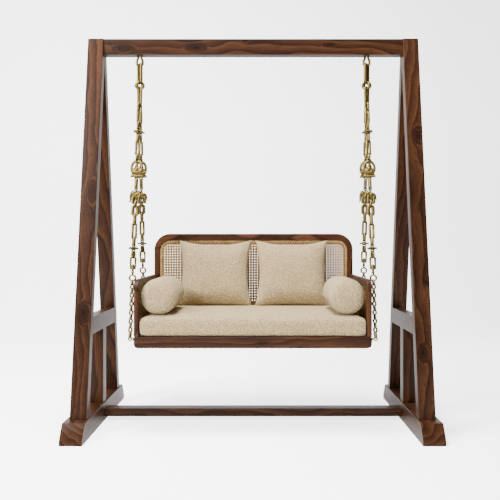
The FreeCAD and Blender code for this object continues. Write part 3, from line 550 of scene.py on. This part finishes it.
def even_steps(tree, start):
    """Points at even steps along the edges of a path, turned with it."""
    path = node(tree, "GeometryNodeObjectInfo", Object=start["Path"])
    curve = node(tree, "GeometryNodeMeshToCurve", Mesh=path.outputs["Geometry"])
    steps = node(tree, "GeometryNodeCurveToPoints", mode="LENGTH", Curve=curve.outputs["Curve"],
                 Length=start["Spacing"])
    return {"Points": steps.outputs["Points"], "Rotation": steps.outputs["Rotation"]}


def run_tree(name, tree, values):
    """Evaluate a geometry node tree on an empty mesh and keep the result as a mesh."""
    holder = add_object(name + "_holder", bpy.data.meshes.new(name + "_holder"))
    modifier = holder.modifiers.new(name, "NODES")
    modifier.node_group = tree
    for item in tree.interface.items_tree:
        if item.item_type == "SOCKET" and item.in_out == "INPUT" and item.name in values:
            modifier[item.identifier] = values[item.name]
    holder.update_tag()
    graph = bpy.context.evaluated_depsgraph_get()
    mesh = bpy.data.meshes.new_from_object(holder.evaluated_get(graph), depsgraph=graph)
    holder.modifiers.remove(modifier)
    bpy.data.objects.remove(holder)
    mesh.name = name
    return mesh


WEAVE = copies_tree("cane_weave", [("Columns", "Int"), ("Rows", "Int"), ("Pitch across", "Float"),
                                   ("Pitch up", "Float")], upright_grid)
ROW = copies_tree("bead_row", [("Path", "Object"), ("Spacing", "Float")], even_steps)


def ring_of_beads(name, points, bead, spacing, material, form=Matrix()):
    """Copies of a bead along a closed path, as one mesh."""
    count = len(points)
    path = bpy.data.meshes.new(name + "_path")
    path.from_pydata(points, [(k, (k + 1) % count) for k in range(count)], [])
    path.transform(form)
    path = add_object(name + "_path", path)
    mesh = run_tree(name, ROW, {"Copy": bead, "Path": path, "Spacing": spacing,
                                "Material": material})
    bpy.data.objects.remove(path)
    tidy_mesh(mesh)
    return mesh


# ---- cast brass ornaments ----

OVAL_LINK, PLAITED_LINK = 1, 10      # places among the plain links of a chain, from the top
OVAL_TURN = 40                       # of its web about the chain, in degrees
EYE, EYE_WIRE = 8.5, 3.3             # ring at both ends of an ornament, in millimetres
EYE_SEAT = EYE - EYE_WIRE


def chains():
    """Name, side and lean of each chain."""
    for end, lean in LEAN.items():
        for side, hand in SIDES.items():
            yield end + "_" + side, hand, Matrix.Rotation(lean, 4, "X")


def link_place(chain, place):
    """Middle of one plain link of a chain, counted from the top."""
    return sorted(node_islands(chain + "_links"), key=lambda spot: -spot.z)[place]


def ball(place, radii, turn=0, segments=20, rings=12):
    """Ellipsoid, turned about Y by degrees."""
    work = bmesh.new()
    bmesh.ops.create_uvsphere(work, u_segments=segments, v_segments=rings, radius=1)
    form = (Matrix.Translation(place) @ Matrix.Rotation(math.radians(turn), 4, "Y")
            @ Matrix.Diagonal((*radii, 1)))
    bmesh.ops.transform(work, matrix=form, verts=work.verts)
    return work


def limb(a, b, radius_a, radius_b):
    """Tapered bar with round ends."""
    a, b = Vector(a), Vector(b)
    work = bmesh.new()
    bmesh.ops.create_cone(work, cap_ends=True, segments=16, radius1=radius_a, radius2=radius_b,
                          depth=(b - a).length)
    form = Matrix.Translation((a + b) / 2) @ (b - a).to_track_quat("Z", "Y").to_matrix().to_4x4()
    bmesh.ops.transform(work, matrix=form, verts=work.verts)
    return [work, ball(a, [radius_a] * 3), ball(b, [radius_b] * 3)]


def path_of_limbs(points, radii):
    parts = []
    for k in range(len(points) - 1):
        parts += limb(points[k], points[k + 1], radii[k], radii[k + 1])
    return parts


def hoop(place, radius, wire, lying=False, tall=0.0):
    """Ring of round wire around Y, or lying flat; tall is added to its radius along Z."""
    around, section = 40, 10
    rows = []
    for i in range(around):
        angle = math.tau * i / around
        row = []
        for j in range(section):
            turn = math.tau * j / section
            reach = radius + wire * math.cos(turn)
            row.append((reach * math.cos(angle), wire * math.sin(turn),
                        (reach + tall) * math.sin(angle)))
        rows.append(row)
    vertices, faces = skin(rows, closed=True)
    work = bmesh.new()
    corners = [work.verts.new(spot) for spot in vertices]
    for face in faces:
        work.faces.new([corners[k] for k in face])
    if lying:
        bmesh.ops.rotate(work, verts=work.verts, matrix=Matrix.Rotation(QUARTER, 3, "X"))
    bmesh.ops.translate(work, verts=work.verts, vec=Vector(place))
    return work


def eyes(reach):
    """The ring above and the ring below an ornament that spans reach between its bearings."""
    return [hoop((0, 0, -EYE_SEAT), EYE, EYE_WIRE), hoop((0, 0, -reach + EYE_SEAT), EYE, EYE_WIRE)]


def cast(name, parts, voxel=1.1):
    """Melt the parts, given in millimetres, into one smooth brass casting."""
    whole = joined(mesh_of("scratch", part) for part in parts)
    bmesh.ops.recalc_face_normals(whole, faces=whole.faces)
    piece = add_object(name, mesh_of(name, whole))
    remesh = piece.modifiers.new("melt", "REMESH")
    remesh.mode = "VOXEL"
    remesh.voxel_size = voxel
    soft = piece.modifiers.new("soft", "SMOOTH")
    soft.iterations = 2
    soft.factor = 0.5
    apply_modifiers(piece)
    mesh = piece.data
    bpy.data.objects.remove(piece)
    shade_smooth(mesh)
    mesh.materials.clear()
    mesh.materials.append(BRASS)
    return mesh


def seated_figure():
    """Tall ring with a beaded rim, a plain seated figure in it and a lotus base."""
    reach, centre = 114.0, -51.0
    radius, wire, tall = 27.5, 6.8, 9.0
    bead_ring, beads = 33, 26
    floor = centre - radius - tall
    parts = eyes(reach) + [hoop((0, 0, centre), radius, wire, tall=tall)]
    for k in range(beads):
        angle = math.tau * k / beads
        if math.sin(angle) > -0.75:
            parts.append(ball((bead_ring * math.cos(angle), 0,
                               centre + (bead_ring + tall) * math.sin(angle)), (4.2, 4.2, 4.2)))
    parts += [ball((0, 0, centre + 11), (8.5, 7.5, 9.5)),       # head
              ball((0, 0, centre + 21), (7, 6, 7)),             # hair
              ball((0, 0, centre - 8), (13.5, 9, 16)),          # body
              ball((0, 1, centre - 15), (26, 4, 20))]           # panel behind
    for way in (-1, 1):
        # Arm, crossed leg and the cloth beside the knee
        parts += path_of_limbs([(9 * way, 0, centre + 1), (18 * way, -3, centre - 11),
                                (8 * way, -8, centre - 17)], [5.4, 4.6, 3.8])
        parts += path_of_limbs([(5 * way, 0, centre - 22), (22 * way, -4, centre - 22),
                                (4 * way, -9, centre - 27)], [8, 8, 6])
        parts += limb((16 * way, 0, centre - 24), (23 * way, 0, centre - 4), 4, 2.6)
    for x in (-20, -10, 0, 10, 20):
        parts.append(ball((x, -2, floor + 4), (6.5, 7, 6)))
    parts.append(ball((0, 0, floor - 4), (33, 9, 8)))
    for x in range(-28, 29, 7):
        parts.append(ball((x, -2, floor - 11), (5.6, 8, 5.6)))
    return parts


def elephant():
    """Standing elephant facing -X with a saddle cloth."""
    reach, length, height = 76.0, 64.0, 74.0
    floor = -EYE_SEAT - 0.9 * EYE - height

    def at(along, up, y=0.0):
        return ((along - 0.5) * length, y, floor + up * height)

    parts = eyes(reach)
    parts += [ball(at(0.62, 0.58), (21, 13.5, 19), -6),         # barrel
              ball(at(0.42, 0.60), (16, 12.5, 19)),             # shoulders
              ball(at(0.80, 0.53), (13, 12, 17)),               # rump
              ball(at(0.22, 0.78), (12, 10, 14), 14),           # head
              ball(at(0.24, 0.93), (6.5, 7.5, 5))]              # crown
    trunk = [at(0.14, 0.74), at(0.07, 0.62), at(0.055, 0.46), at(0.07, 0.30), at(0.06, 0.16),
             at(-0.01, 0.10)]
    parts += path_of_limbs(trunk, [7.5, 6.4, 5.6, 4.9, 4.3, 3.6])
    for way in (-1, 1):
        # Tusk, ear, front and back leg, and their feet
        parts += path_of_limbs([at(0.15, 0.62, 5 * way), at(0.07, 0.54, 7 * way),
                                at(0.01, 0.56, 7 * way)], [2.2, 1.9, 1.2])
        parts.append(ball(at(0.34, 0.72, 10.5 * way), (8, 2.6, 11), -12))
        parts += limb(at(0.30, 0.48, 6 * way), at(0.28, 0.07, 6 * way), 8.2, 6.8)
        parts += limb(at(0.80, 0.46, 6 * way), at(0.78, 0.07, 6 * way), 9.0, 7.0)
        parts += [ball(at(0.27, 0.03, 6 * way), (6.6, 6.2, 3.4)),
                  ball(at(0.77, 0.03, 6 * way), (6.8, 6.4, 3.4))]
    parts += path_of_limbs([at(0.95, 0.66), at(0.99, 0.45), at(0.985, 0.22)], [2.4, 1.7, 2.2])
    # Saddle cloth with a beaded edge, and the bars up to and down to the eyes
    saddle = 0.56
    parts.append(ball(at(saddle, 0.62), (12.5, 15.2, 17)))
    for k in range(7):
        angle = math.radians(-60 + 40 * k)
        for x in (saddle - 0.17, saddle + 0.17):
            parts.append(ball(at(x, 0.60 + 0.21 * math.cos(angle), 14.0 * math.sin(angle)),
                              (1.9, 1.9, 1.9)))
    parts += limb((0, 0, -EYE_SEAT - EYE), at(0.5, 0.72), 5.5, 7)
    parts += limb(at(0.5, 0.45), (0, 0, -reach + EYE_SEAT + EYE), 4.5, 4.2)
    return parts


def spoked_disc():
    """Flat rosette with pointed petals around a hub, an eye above and one below."""
    reach, rim, petals = 40.0, 24.0, 8
    middle = (0, 0, -reach / 2)
    parts = eyes(reach) + [ball(middle, (12.5, 12.5, 10)), hoop(middle, 15, 4.4, lying=True),
                           ball(middle, (22, 22, 5))]
    for k in range(petals):
        angle = math.tau * k / petals
        tip = (rim * math.cos(angle), rim * math.sin(angle), middle[2])
        parts += limb(middle, tip, 6.4, 4.4)
    parts += limb(middle, (0, 0, -EYE_SEAT - EYE), 7, 4.5)
    parts += limb(middle, (0, 0, -reach + EYE_SEAT + EYE), 7, 4.5)
    return parts


# Parts of each ornament, and how far its top bearing is above the middle of its solid
ORNAMENTS = {"figure": (seated_figure, 57.0), "elephant": (elephant, 40.2),
             "discs": (spoked_disc, 20.0)}


def dress_ornaments():
    castings = {kind: cast(kind + "_casting", design())
                for kind, (design, _) in ORNAMENTS.items()}
    for chain, _, lean in chains():
        for kind, casting in castings.items():
            name = chain + "_" + kind
            copies = []
            for place in node_islands(name):
                copy = casting.copy()
                copy.transform(Matrix.Translation(place) @ lean @ MILLIMETRES
                               @ Matrix.Translation((0, 0, ORNAMENTS[kind][1])))
                copies.append(copy)
            piece = add_object(name + "_cast", mesh_of(name + "_cast", joined(copies)))
            shade_smooth(piece.data)
            dress(piece, BRASS, body_of_node(name), name)


def oval_webs():
    """Cast web that fills the lower half of the oval link of each chain."""
    for chain, hand, lean in chains():
        mesh = cast("oval_web", [ball((0, 0, -20), (10.5, 4.6, 30)),
                                 ball((0, 0, -30), (9.5, 6.5, 18))], 1.0)
        mesh.transform(Matrix.Translation(link_place(chain, OVAL_LINK)) @ lean
                       @ Matrix.Rotation(math.radians(OVAL_TURN * hand), 4, "Z") @ MILLIMETRES)
        dress(add_object(chain + "_oval_web", mesh), BRASS,
              body_of_node(chain + "_links"))


def plaited_links():
    """Slanted strands laid round the oval link below each elephant."""
    strand_size, slant, spacing = (6.4 * MM, 6.0 * MM, 9.6 * MM), 38, 6.2 * MM
    half_width, half_height, steps = 9.8 * MM, 26 * MM, 32
    strand = add_object("strand", mesh_of("strand", ball((0, 0, 0), strand_size, slant, 8, 6)))
    oval = []
    for step in range(steps):
        angle = math.tau * step / steps
        oval.append((half_width * math.cos(angle), 0, half_height * math.sin(angle)))
    for chain, _, lean in chains():
        name = chain + "_plait"
        form = Matrix.Translation(link_place(chain, PLAITED_LINK)) @ lean
        piece = add_object(name, ring_of_beads(name, oval, strand, spacing, BRASS, form))
        dress(piece, BRASS, body_of_node(chain + "_links"))
    bpy.data.objects.remove(strand)


# ---- woven cane ----

CELL_PITCH = 15.7 * MM
STRIP_WIDTH, STRIP_GAUGE = 0.35, 0.04       # shares of a cell
CANE_MARGIN, CANE_LAP = 28 * MM, 3 * MM     # width of the border, and what it covers of the weave
WEAVE_DEPTH, ARM_WEAVE_EDGE = 1.6 * MM, 1.5 * MM
ARCH_CORNER, ARCH_SLACK = 63.5 * MM, 4 * MM
# Inset from the frame's edge and height behind its front, across the border, in millimetres
BORDER_SECTION = ((0.5, 2.6), (3, 0.9), (11, 0.4), (18, 0.9), (21, 0.9), (27, 0.5), (28, 2.6))
# Row of near-black dots along the border, painted shade where its holes are
SHADE_DOT_INSET, SHADE_DOT_DEPTH, SHADE_DOT_RADIUS = 19.5 * MM, 3.6 * MM, 5.6 * MM


def strip_cell():
    """One cell of the weave: doubled uprights, doubled crosswise strips, four diagonals."""
    vertices, faces = [], []
    half = 0.5

    def strip(a, b, depth):
        along = (Vector(b) - Vector(a)).normalized()
        across = Vector((-along.y, along.x)) * STRIP_WIDTH / 2
        first = len(vertices)
        for end in (a, b):
            for way, lift in ((-1, 0), (-0.45, 1), (0.45, 1), (1, 0)):
                spot = Vector(end) + across * way
                vertices.append((spot.x, depth - STRIP_GAUGE * lift, spot.y))
        for k in range(4):
            n = (k + 1) % 4
            faces.append((first + k, first + n, first + 4 + n, first + 4 + k))
        faces.append(tuple(first + k for k in range(3, -1, -1)))
        faces.append(tuple(first + 4 + k for k in range(4)))

    offset = half * 0.64
    for side in (-1, 1):
        strip((side * offset, -half), (side * offset, half), 0)
        strip((-half, side * offset), (half, side * offset), -STRIP_GAUGE * 0.7)
        strip((0, side * half), (half, 0), -STRIP_GAUGE * 1.4)
        strip((0, side * half), (-half, 0), -STRIP_GAUGE * 1.4)
    return mesh_from("cane_cell", vertices, faces, False)


def weave(name, width, rise):
    """A centred woven panel in the XZ plane, its cells stretched a little to fill it."""
    columns = max(2, round(width / CELL_PITCH))
    rows = max(2, round(rise / CELL_PITCH))
    cell = add_object(name + "_cell", strip_cell())
    cell.data.transform(Matrix.Diagonal((width / columns, CELL_PITCH, rise / rows, 1)))
    mesh = run_tree(name, WEAVE, {"Copy": cell, "Columns": columns, "Rows": rows,
                                  "Pitch across": width / columns, "Pitch up": rise / rows,
                                  "Material": CANE})
    bpy.data.objects.remove(cell)
    return mesh


def trim_to_arch(mesh, reach, top, corner):
    """Drop what would run past the rounded corners of the back."""
    work = bmesh.new()
    work.from_mesh(mesh)
    outside = []
    for vertex in work.verts:
        dx = abs(vertex.co.x) - (reach - corner)
        dz = vertex.co.z - (top - corner)
        if dx > 0 and dz > 0 and math.hypot(dx, dz) > corner + ARCH_SLACK:
            outside.append(vertex)
    bmesh.ops.delete(work, geom=outside, context="VERTS")
    work.to_mesh(mesh)
    work.free()


def arch_path(low, high, inset):
    """Points round the back's opening, inset from it, with rounded upper corners."""
    x, bottom, top = high[0] - inset, low[2] + inset, high[2] - inset
    corner, steps = ARCH_CORNER - inset, 8
    points = [(-x, bottom), (x, bottom)]
    for middle, start in ((x - corner, 0), (corner - x, QUARTER)):
        for step in range(steps + 1):
            angle = start + QUARTER * step / steps
            points.append((middle + corner * math.cos(angle),
                           top - corner + corner * math.sin(angle)))
    return points


def cane_border(low, high, front):
    """Flat cane strip over the frame of the weave, with a row of near-black dots that are painted
    shade in the holes along it.
    """
    rows = [[(x, front + depth * MM, z) for x, z in arch_path(low, high, inset * MM)]
            for inset, depth in BORDER_SECTION]
    dress(add_object("cane_border", mesh_from("cane_border", *skin(rows, closed=True))),
          CANE_BORDER, "seat")
    peg = add_object("peg", mesh_of("peg", ball((0, 0, 0), [SHADE_DOT_RADIUS] * 3, 0, 8, 6)))
    line = [(x, front + SHADE_DOT_DEPTH, z) for x, z in arch_path(low, high, SHADE_DOT_INSET)]
    mesh = ring_of_beads("cane_pegs", line, peg, CELL_PITCH, HOLE_SHADE_PAINT)
    bpy.data.objects.remove(peg)
    dress(add_object("cane_pegs", mesh), HOLE_SHADE_PAINT, "seat")


def cane_panels():
    low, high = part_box("back_cane_frame")
    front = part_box("back_cane")[0][1]
    edge = CANE_MARGIN - CANE_LAP
    mesh = weave("back_weave", high[0] - low[0] - 2 * edge, high[2] - low[2] - 2 * edge)
    mesh.transform(Matrix.Translation((0, front + WEAVE_DEPTH, (low[2] + high[2]) / 2)))
    trim_to_arch(mesh, high[0] - edge, high[2] - edge, ARCH_CORNER - edge)
    dress(add_object("back_weave", mesh), CANE, "seat", "back_cane")
    cane_border(low, high, front)
    for side, way in SIDES.items():
        low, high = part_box(side + "_arm_cane")
        name = side + "_arm_weave"
        mesh = weave(name, high[1] - low[1] - 2 * ARM_WEAVE_EDGE,
                     high[2] - low[2] - 2 * ARM_WEAVE_EDGE)
        mesh.transform(Matrix.Rotation(-way * QUARTER, 4, "Z"))
        mesh.transform(Matrix.Translation(middle_of(low, high)))
        dress(add_object(name, mesh), CANE, "seat", side + "_arm_cane")
    smooth_copy("back_cane_frame", CANE_FRAME, "seat")


# ---- cushions ----

PILLOW_WIDTH, PILLOW_HEIGHT = 440 * MM, 404 * MM
PILLOW_THICKNESS, PILLOW_START = 124 * MM, 84 * MM          # filled, and before its filling
SIDE_PULL, TOP_PULL, BOTTOM_PULL = 0.11, 0.15, 0.015        # shares the middle of a side gives in
PILLOW_FOOT, PILLOW_HEAD = 193 * MM, 310 * MM               # Y of its middle, at foot and head
CLOTH_STEPS, CLOTH_STIFFNESS = 20, 25


def even_out(mesh, moves, rounds):
    """Blend the move of each point with those of its neighbours, which softens creases."""
    ends = np.empty(2 * len(mesh.edges), dtype=np.int64)
    mesh.edges.foreach_get("vertices", ends)
    first, second = ends[0::2], ends[1::2]
    neighbours = np.bincount(ends, minlength=len(moves))[:, None]
    for _ in range(rounds):
        total = np.zeros_like(moves)
        np.add.at(total, first, moves[second])
        np.add.at(total, second, moves[first])
        moves = (moves + total / neighbours) / 2
    return moves


def puff(piece, cap, pressure=4.0, voxel=None, hold=(1, 1, 1), spread=12):
    """Fill the cloth by a short simulation, each point moving no further than cap.

    hold is the share of the movement that is kept along each axis, and spread the rounds
    of evening out.
    """
    if voxel:
        remesh = piece.modifiers.new("even_mesh", "REMESH")
        remesh.mode = "VOXEL"
        remesh.voxel_size = voxel
        apply_modifiers(piece)
    before = [vertex.co.copy() for vertex in piece.data.vertices]
    cloth = piece.modifiers.new("filling", "CLOTH")
    settings = cloth.settings
    settings.use_pressure = True
    settings.uniform_pressure_force = pressure
    settings.quality = 5
    settings.tension_stiffness = settings.compression_stiffness = CLOTH_STIFFNESS
    settings.bending_stiffness = 1.2
    settings.effector_weights.gravity = 0
    cloth.point_cache.frame_start = 1
    cloth.point_cache.frame_end = CLOTH_STEPS
    for step in range(1, CLOTH_STEPS + 1):
        bpy.context.scene.frame_set(step)
    apply_modifiers(piece)
    moves = []
    for vertex, start in zip(piece.data.vertices, before):
        move = vertex.co - start
        if move.length > cap:
            move *= cap / move.length
        moves.append([along * share for along, share in zip(move, hold)])
    moves = even_out(piece.data, np.array(moves), spread)
    for vertex, start, move in zip(piece.data.vertices, before, moves):
        vertex.co = start + Vector(move)
    bpy.context.scene.frame_set(1)
    fine = piece.modifiers.new("fine", "SUBSURF")
    fine.levels = fine.render_levels = 1
    apply_modifiers(piece)


def settle(piece, low, high, sink):
    """Bring the filled cloth back to its box and lay its underside flat."""
    lowest, highest = span([vertex.co for vertex in piece.data.vertices])
    for vertex in piece.data.vertices:
        for axis in range(3):
            share = (vertex.co[axis] - lowest[axis]) / (highest[axis] - lowest[axis])
            base = low[axis] - (sink if axis == 2 else 0)
            vertex.co[axis] = base + share * (high[axis] - base)
        vertex.co.z = max(vertex.co.z, low[2])


def finish_soft(piece, node_name):
    shade_smooth(piece.data)
    dress(piece, BOUCLE, "seat", node_name)


def pillow_mesh(name, thickness):
    """Square pillow in the XZ plane with pointed corners and pulled-in sides."""
    count = 44
    vertices, faces, index = [], [], {}
    for face in (-1, 1):
        for i in range(count + 1):
            for j in range(count + 1):
                if face == 1 and (i in (0, count) or j in (0, count)):
                    index[face, i, j] = index[-1, i, j]
                    continue
                u, v = 2 * i / count - 1, 2 * j / count - 1
                pull = TOP_PULL if v > 0 else BOTTOM_PULL
                full = max(0.0, (1 - u * u) * (1 - v * v))
                index[face, i, j] = len(vertices)
                vertices.append((PILLOW_WIDTH / 2 * u * (1 - SIDE_PULL * (1 - v * v)),
                                 face * thickness / 2 * full ** 0.34,
                                 PILLOW_HEIGHT / 2 * v * (1 - pull * (1 - u * u))))
        for i in range(count):
            for j in range(count):
                faces.append((index[face, i, j], index[face, i + 1, j],
                              index[face, i + 1, j + 1], index[face, i, j + 1]))
    return mesh_from(name, vertices, faces)


def back_cushions():
    half = [size / 2 for size in (PILLOW_WIDTH, PILLOW_THICKNESS, PILLOW_HEIGHT)]
    lean = math.asin((PILLOW_HEAD - PILLOW_FOOT) / PILLOW_HEIGHT)
    for side in SIDES:
        name = side + "_back_cushion"
        low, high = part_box(name)
        thickness = PILLOW_START
        piece = add_object(name + "_soft", pillow_mesh(name + "_soft", thickness))
        puff(piece, 26 * MM, hold=(0.25, 1, 0.25), spread=36)
        settle(piece, [-reach for reach in half], half, 0)
        piece.data.transform(Matrix.Rotation(-lean, 4, "X"))
        piece.data.transform(Matrix.Translation((
            (low[0] + high[0]) / 2, (PILLOW_FOOT + PILLOW_HEAD) / 2,
            low[2] + PILLOW_HEIGHT / 2 * math.cos(lean))))
        finish_soft(piece, name)


def seat_pad():
    """Crowned pad with rounded edges."""
    low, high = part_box("seat_cushion")
    slack = 5 * MM
    edge, crown, crown_run = 24 * MM, 9 * MM, 170 * MM
    half_x, half_y = (high[0] - low[0]) / 2 - slack, (high[1] - low[1]) / 2 - slack
    middle_x, middle_y, _ = middle_of(low, high)
    bottom, shoulder, top = low[2] + slack, high[2] - crown - slack, high[2] - slack
    work = bmesh.new()
    bmesh.ops.create_cube(work, size=2)
    bmesh.ops.subdivide_edges(work, edges=work.edges, cuts=31, use_grid_fill=True)
    for vertex in work.verts:
        u, v, w = vertex.co
        x, y = u * half_x, v * half_y
        z = bottom + (w + 1) / 2 * (shoulder - bottom)
        inner = Vector((max(-half_x + edge, min(half_x - edge, x)),
                        max(-half_y + edge, min(half_y - edge, y)),
                        max(bottom + edge, min(shoulder - edge, z))))
        away = Vector((x, y, z)) - inner
        if away.length > 0:
            away = away.normalized() * edge
        spot = inner + away
        if w > 0.99:
            reach_x = min(1.0, (half_x - abs(spot.x)) / crown_run)
            reach_y = min(1.0, (half_y - abs(spot.y)) / crown_run)
            spot.z += (top - shoulder) * math.sin(min(reach_x, reach_y) * QUARTER)
        vertex.co = spot + Vector((middle_x, middle_y, 0))
    mesh = mesh_of("seat_pad", work)
    tidy_mesh(mesh)
    piece = add_object("seat_pad", mesh)
    puff(piece, 7 * MM, 3.0, 9 * MM)
    settle(piece, low, high, 8 * MM)
    finish_soft(piece, "seat_cushion")


def bolsters():
    """Round bolsters with domed ends, along Y."""
    dome, dome_rings, body_rings, around = 50 * MM, 12, 24, 64
    for side in SIDES:
        name = side + "_bolster"
        low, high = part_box(name)
        radius = (high[2] - low[2]) / 2 - ((3 * MM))
        x, _, z = middle_of(low, high)
        length = high[1] - low[1]
        near = []
        for step in range(dome_rings, -1, -1):
            angle = QUARTER * step / dome_rings
            near.append((low[1] + dome * (1 - math.sin(angle)), radius * math.cos(angle) ** 0.55))
        body = [(low[1] + dome + (length - 2 * dome) * k / body_rings, radius)
                for k in range(1, body_rings)]
        far = [(high[1] + low[1] - y, r) for y, r in reversed(near)]
        turns = [math.tau * k / around for k in range(around)]
        rows = [[(x + r * math.cos(turn), y, z + r * math.sin(turn)) for turn in turns]
                for y, r in near + body + far]
        mesh = mesh_from(name + "_soft", *skin(rows, closed=False))
        piece = add_object(name + "_soft", mesh)
        puff(piece, 4 * MM, 3.0, 7 * MM)
        settle(piece, low, high, 2 * MM)
        finish_soft(piece, name)


# ---- camera, light and floor ----

# Camera fitted to the photograph: focal length and shift in pixels of a frame 500 wide
FRAME, FOCAL, SHIFT_X, SHIFT_Y, SENSOR = 500, 600, -7.24, -4.64, 36
CAMERA_PLACE = (22.6 * MM, -3345 * MM, 966.7 * MM)
# The floor runs from behind the camera to behind the swing, and curves up into a wall
FLOOR_FRONT, FLOOR_BACK, FLOOR_CURVE, WALL_TOP, FLOOR_SIDE = -9.0, 3.2, 2.5, 9.0, 12
AMBIENT = 0.45
# Place, target, size and power
LIGHTS = {"key_light": ((-3.4, -3.0, 3.4), (0, 0, 0.9), 1.2, 550),
          "top_light": ((-0.5, -0.6, 4.4), (0, 0.1, 0.6), 1.6, 620),
          "fill_light": ((3.8, -2.8, 2.0), (0, 0, 0.8), 2.6, 15)}


def add_camera():
    lens = bpy.data.cameras.new("camera")
    lens.sensor_width = SENSOR
    lens.lens = FOCAL / FRAME * SENSOR
    lens.shift_x = SHIFT_X / FRAME
    lens.shift_y = SHIFT_Y / FRAME
    camera = add_object("camera", lens)
    camera.location = CAMERA_PLACE
    camera.rotation_euler = (QUARTER, 0, 0)
    bpy.context.scene.camera = camera


def floor_paint():
    """Pale paint, brighter towards the left, that lights the object less than it shows."""
    paint, tree, surface, where = shader(
        "pale_floor", Roughness=0.8, Specular_IOR_Level=0.2, Base_Color=(0.88, 0.88, 0.875, 1),
        Emission_Color=(1, 1, 1, 1))
    across = node(tree, "ShaderNodeSeparateXYZ", Vector=where).outputs["X"]
    glow = map_range(tree, across, From_Min=-3.0, From_Max=3.0, To_Min=3.5, To_Max=1.9)
    seen = node(tree, "ShaderNodeLightPath").outputs["Is Camera Ray"]
    feed(tree, surface,
         Emission_Strength=sums(tree, "MULTIPLY", glow, map_range(tree, seen, To_Min=0.28)))
    return paint


def add_floor():
    profile, steps = [(FLOOR_FRONT, 0.0), (FLOOR_BACK, 0.0)], 12
    for step in range(1, steps + 1):
        angle = QUARTER * step / steps
        profile.append((FLOOR_BACK + FLOOR_CURVE * math.sin(angle),
                        FLOOR_CURVE * (1 - math.cos(angle))))
    profile.append((FLOOR_BACK + FLOOR_CURVE, WALL_TOP))
    vertices = [(x, y, z) for y, z in profile for x in (-FLOOR_SIDE, FLOOR_SIDE)]
    faces = [(2 * k, 2 * k + 1, 2 * k + 3, 2 * k + 2) for k in range(len(profile) - 1)]
    mesh = bpy.data.meshes.new("studio_floor")
    mesh.from_pydata(vertices, [], faces)
    shade_smooth(mesh)
    mesh.materials.append(floor_paint())
    add_object("studio_floor", mesh)


def add_lights():
    world = bpy.data.worlds.new("studio")
    bpy.context.scene.world = world
    world.use_nodes = True
    feed(world.node_tree, world.node_tree.nodes["Background"], Color=(1, 1, 1, 1),
         Strength=AMBIENT)
    for name, (place, target, size, power) in LIGHTS.items():
        data = bpy.data.lights.new(name, "AREA")
        data.energy = power
        data.size = size
        lamp = add_object(name, data)
        lamp.location = place
        lamp.rotation_euler = (Vector(target) - Vector(place)).to_track_quat("-Z", "Y").to_euler()


add_camera()
add_floor()
add_lights()
dress_timber()
dress_brass()
dress_ornaments()
oval_webs()
plaited_links()
cane_panels()
back_cushions()
seat_pad()
bolsters()
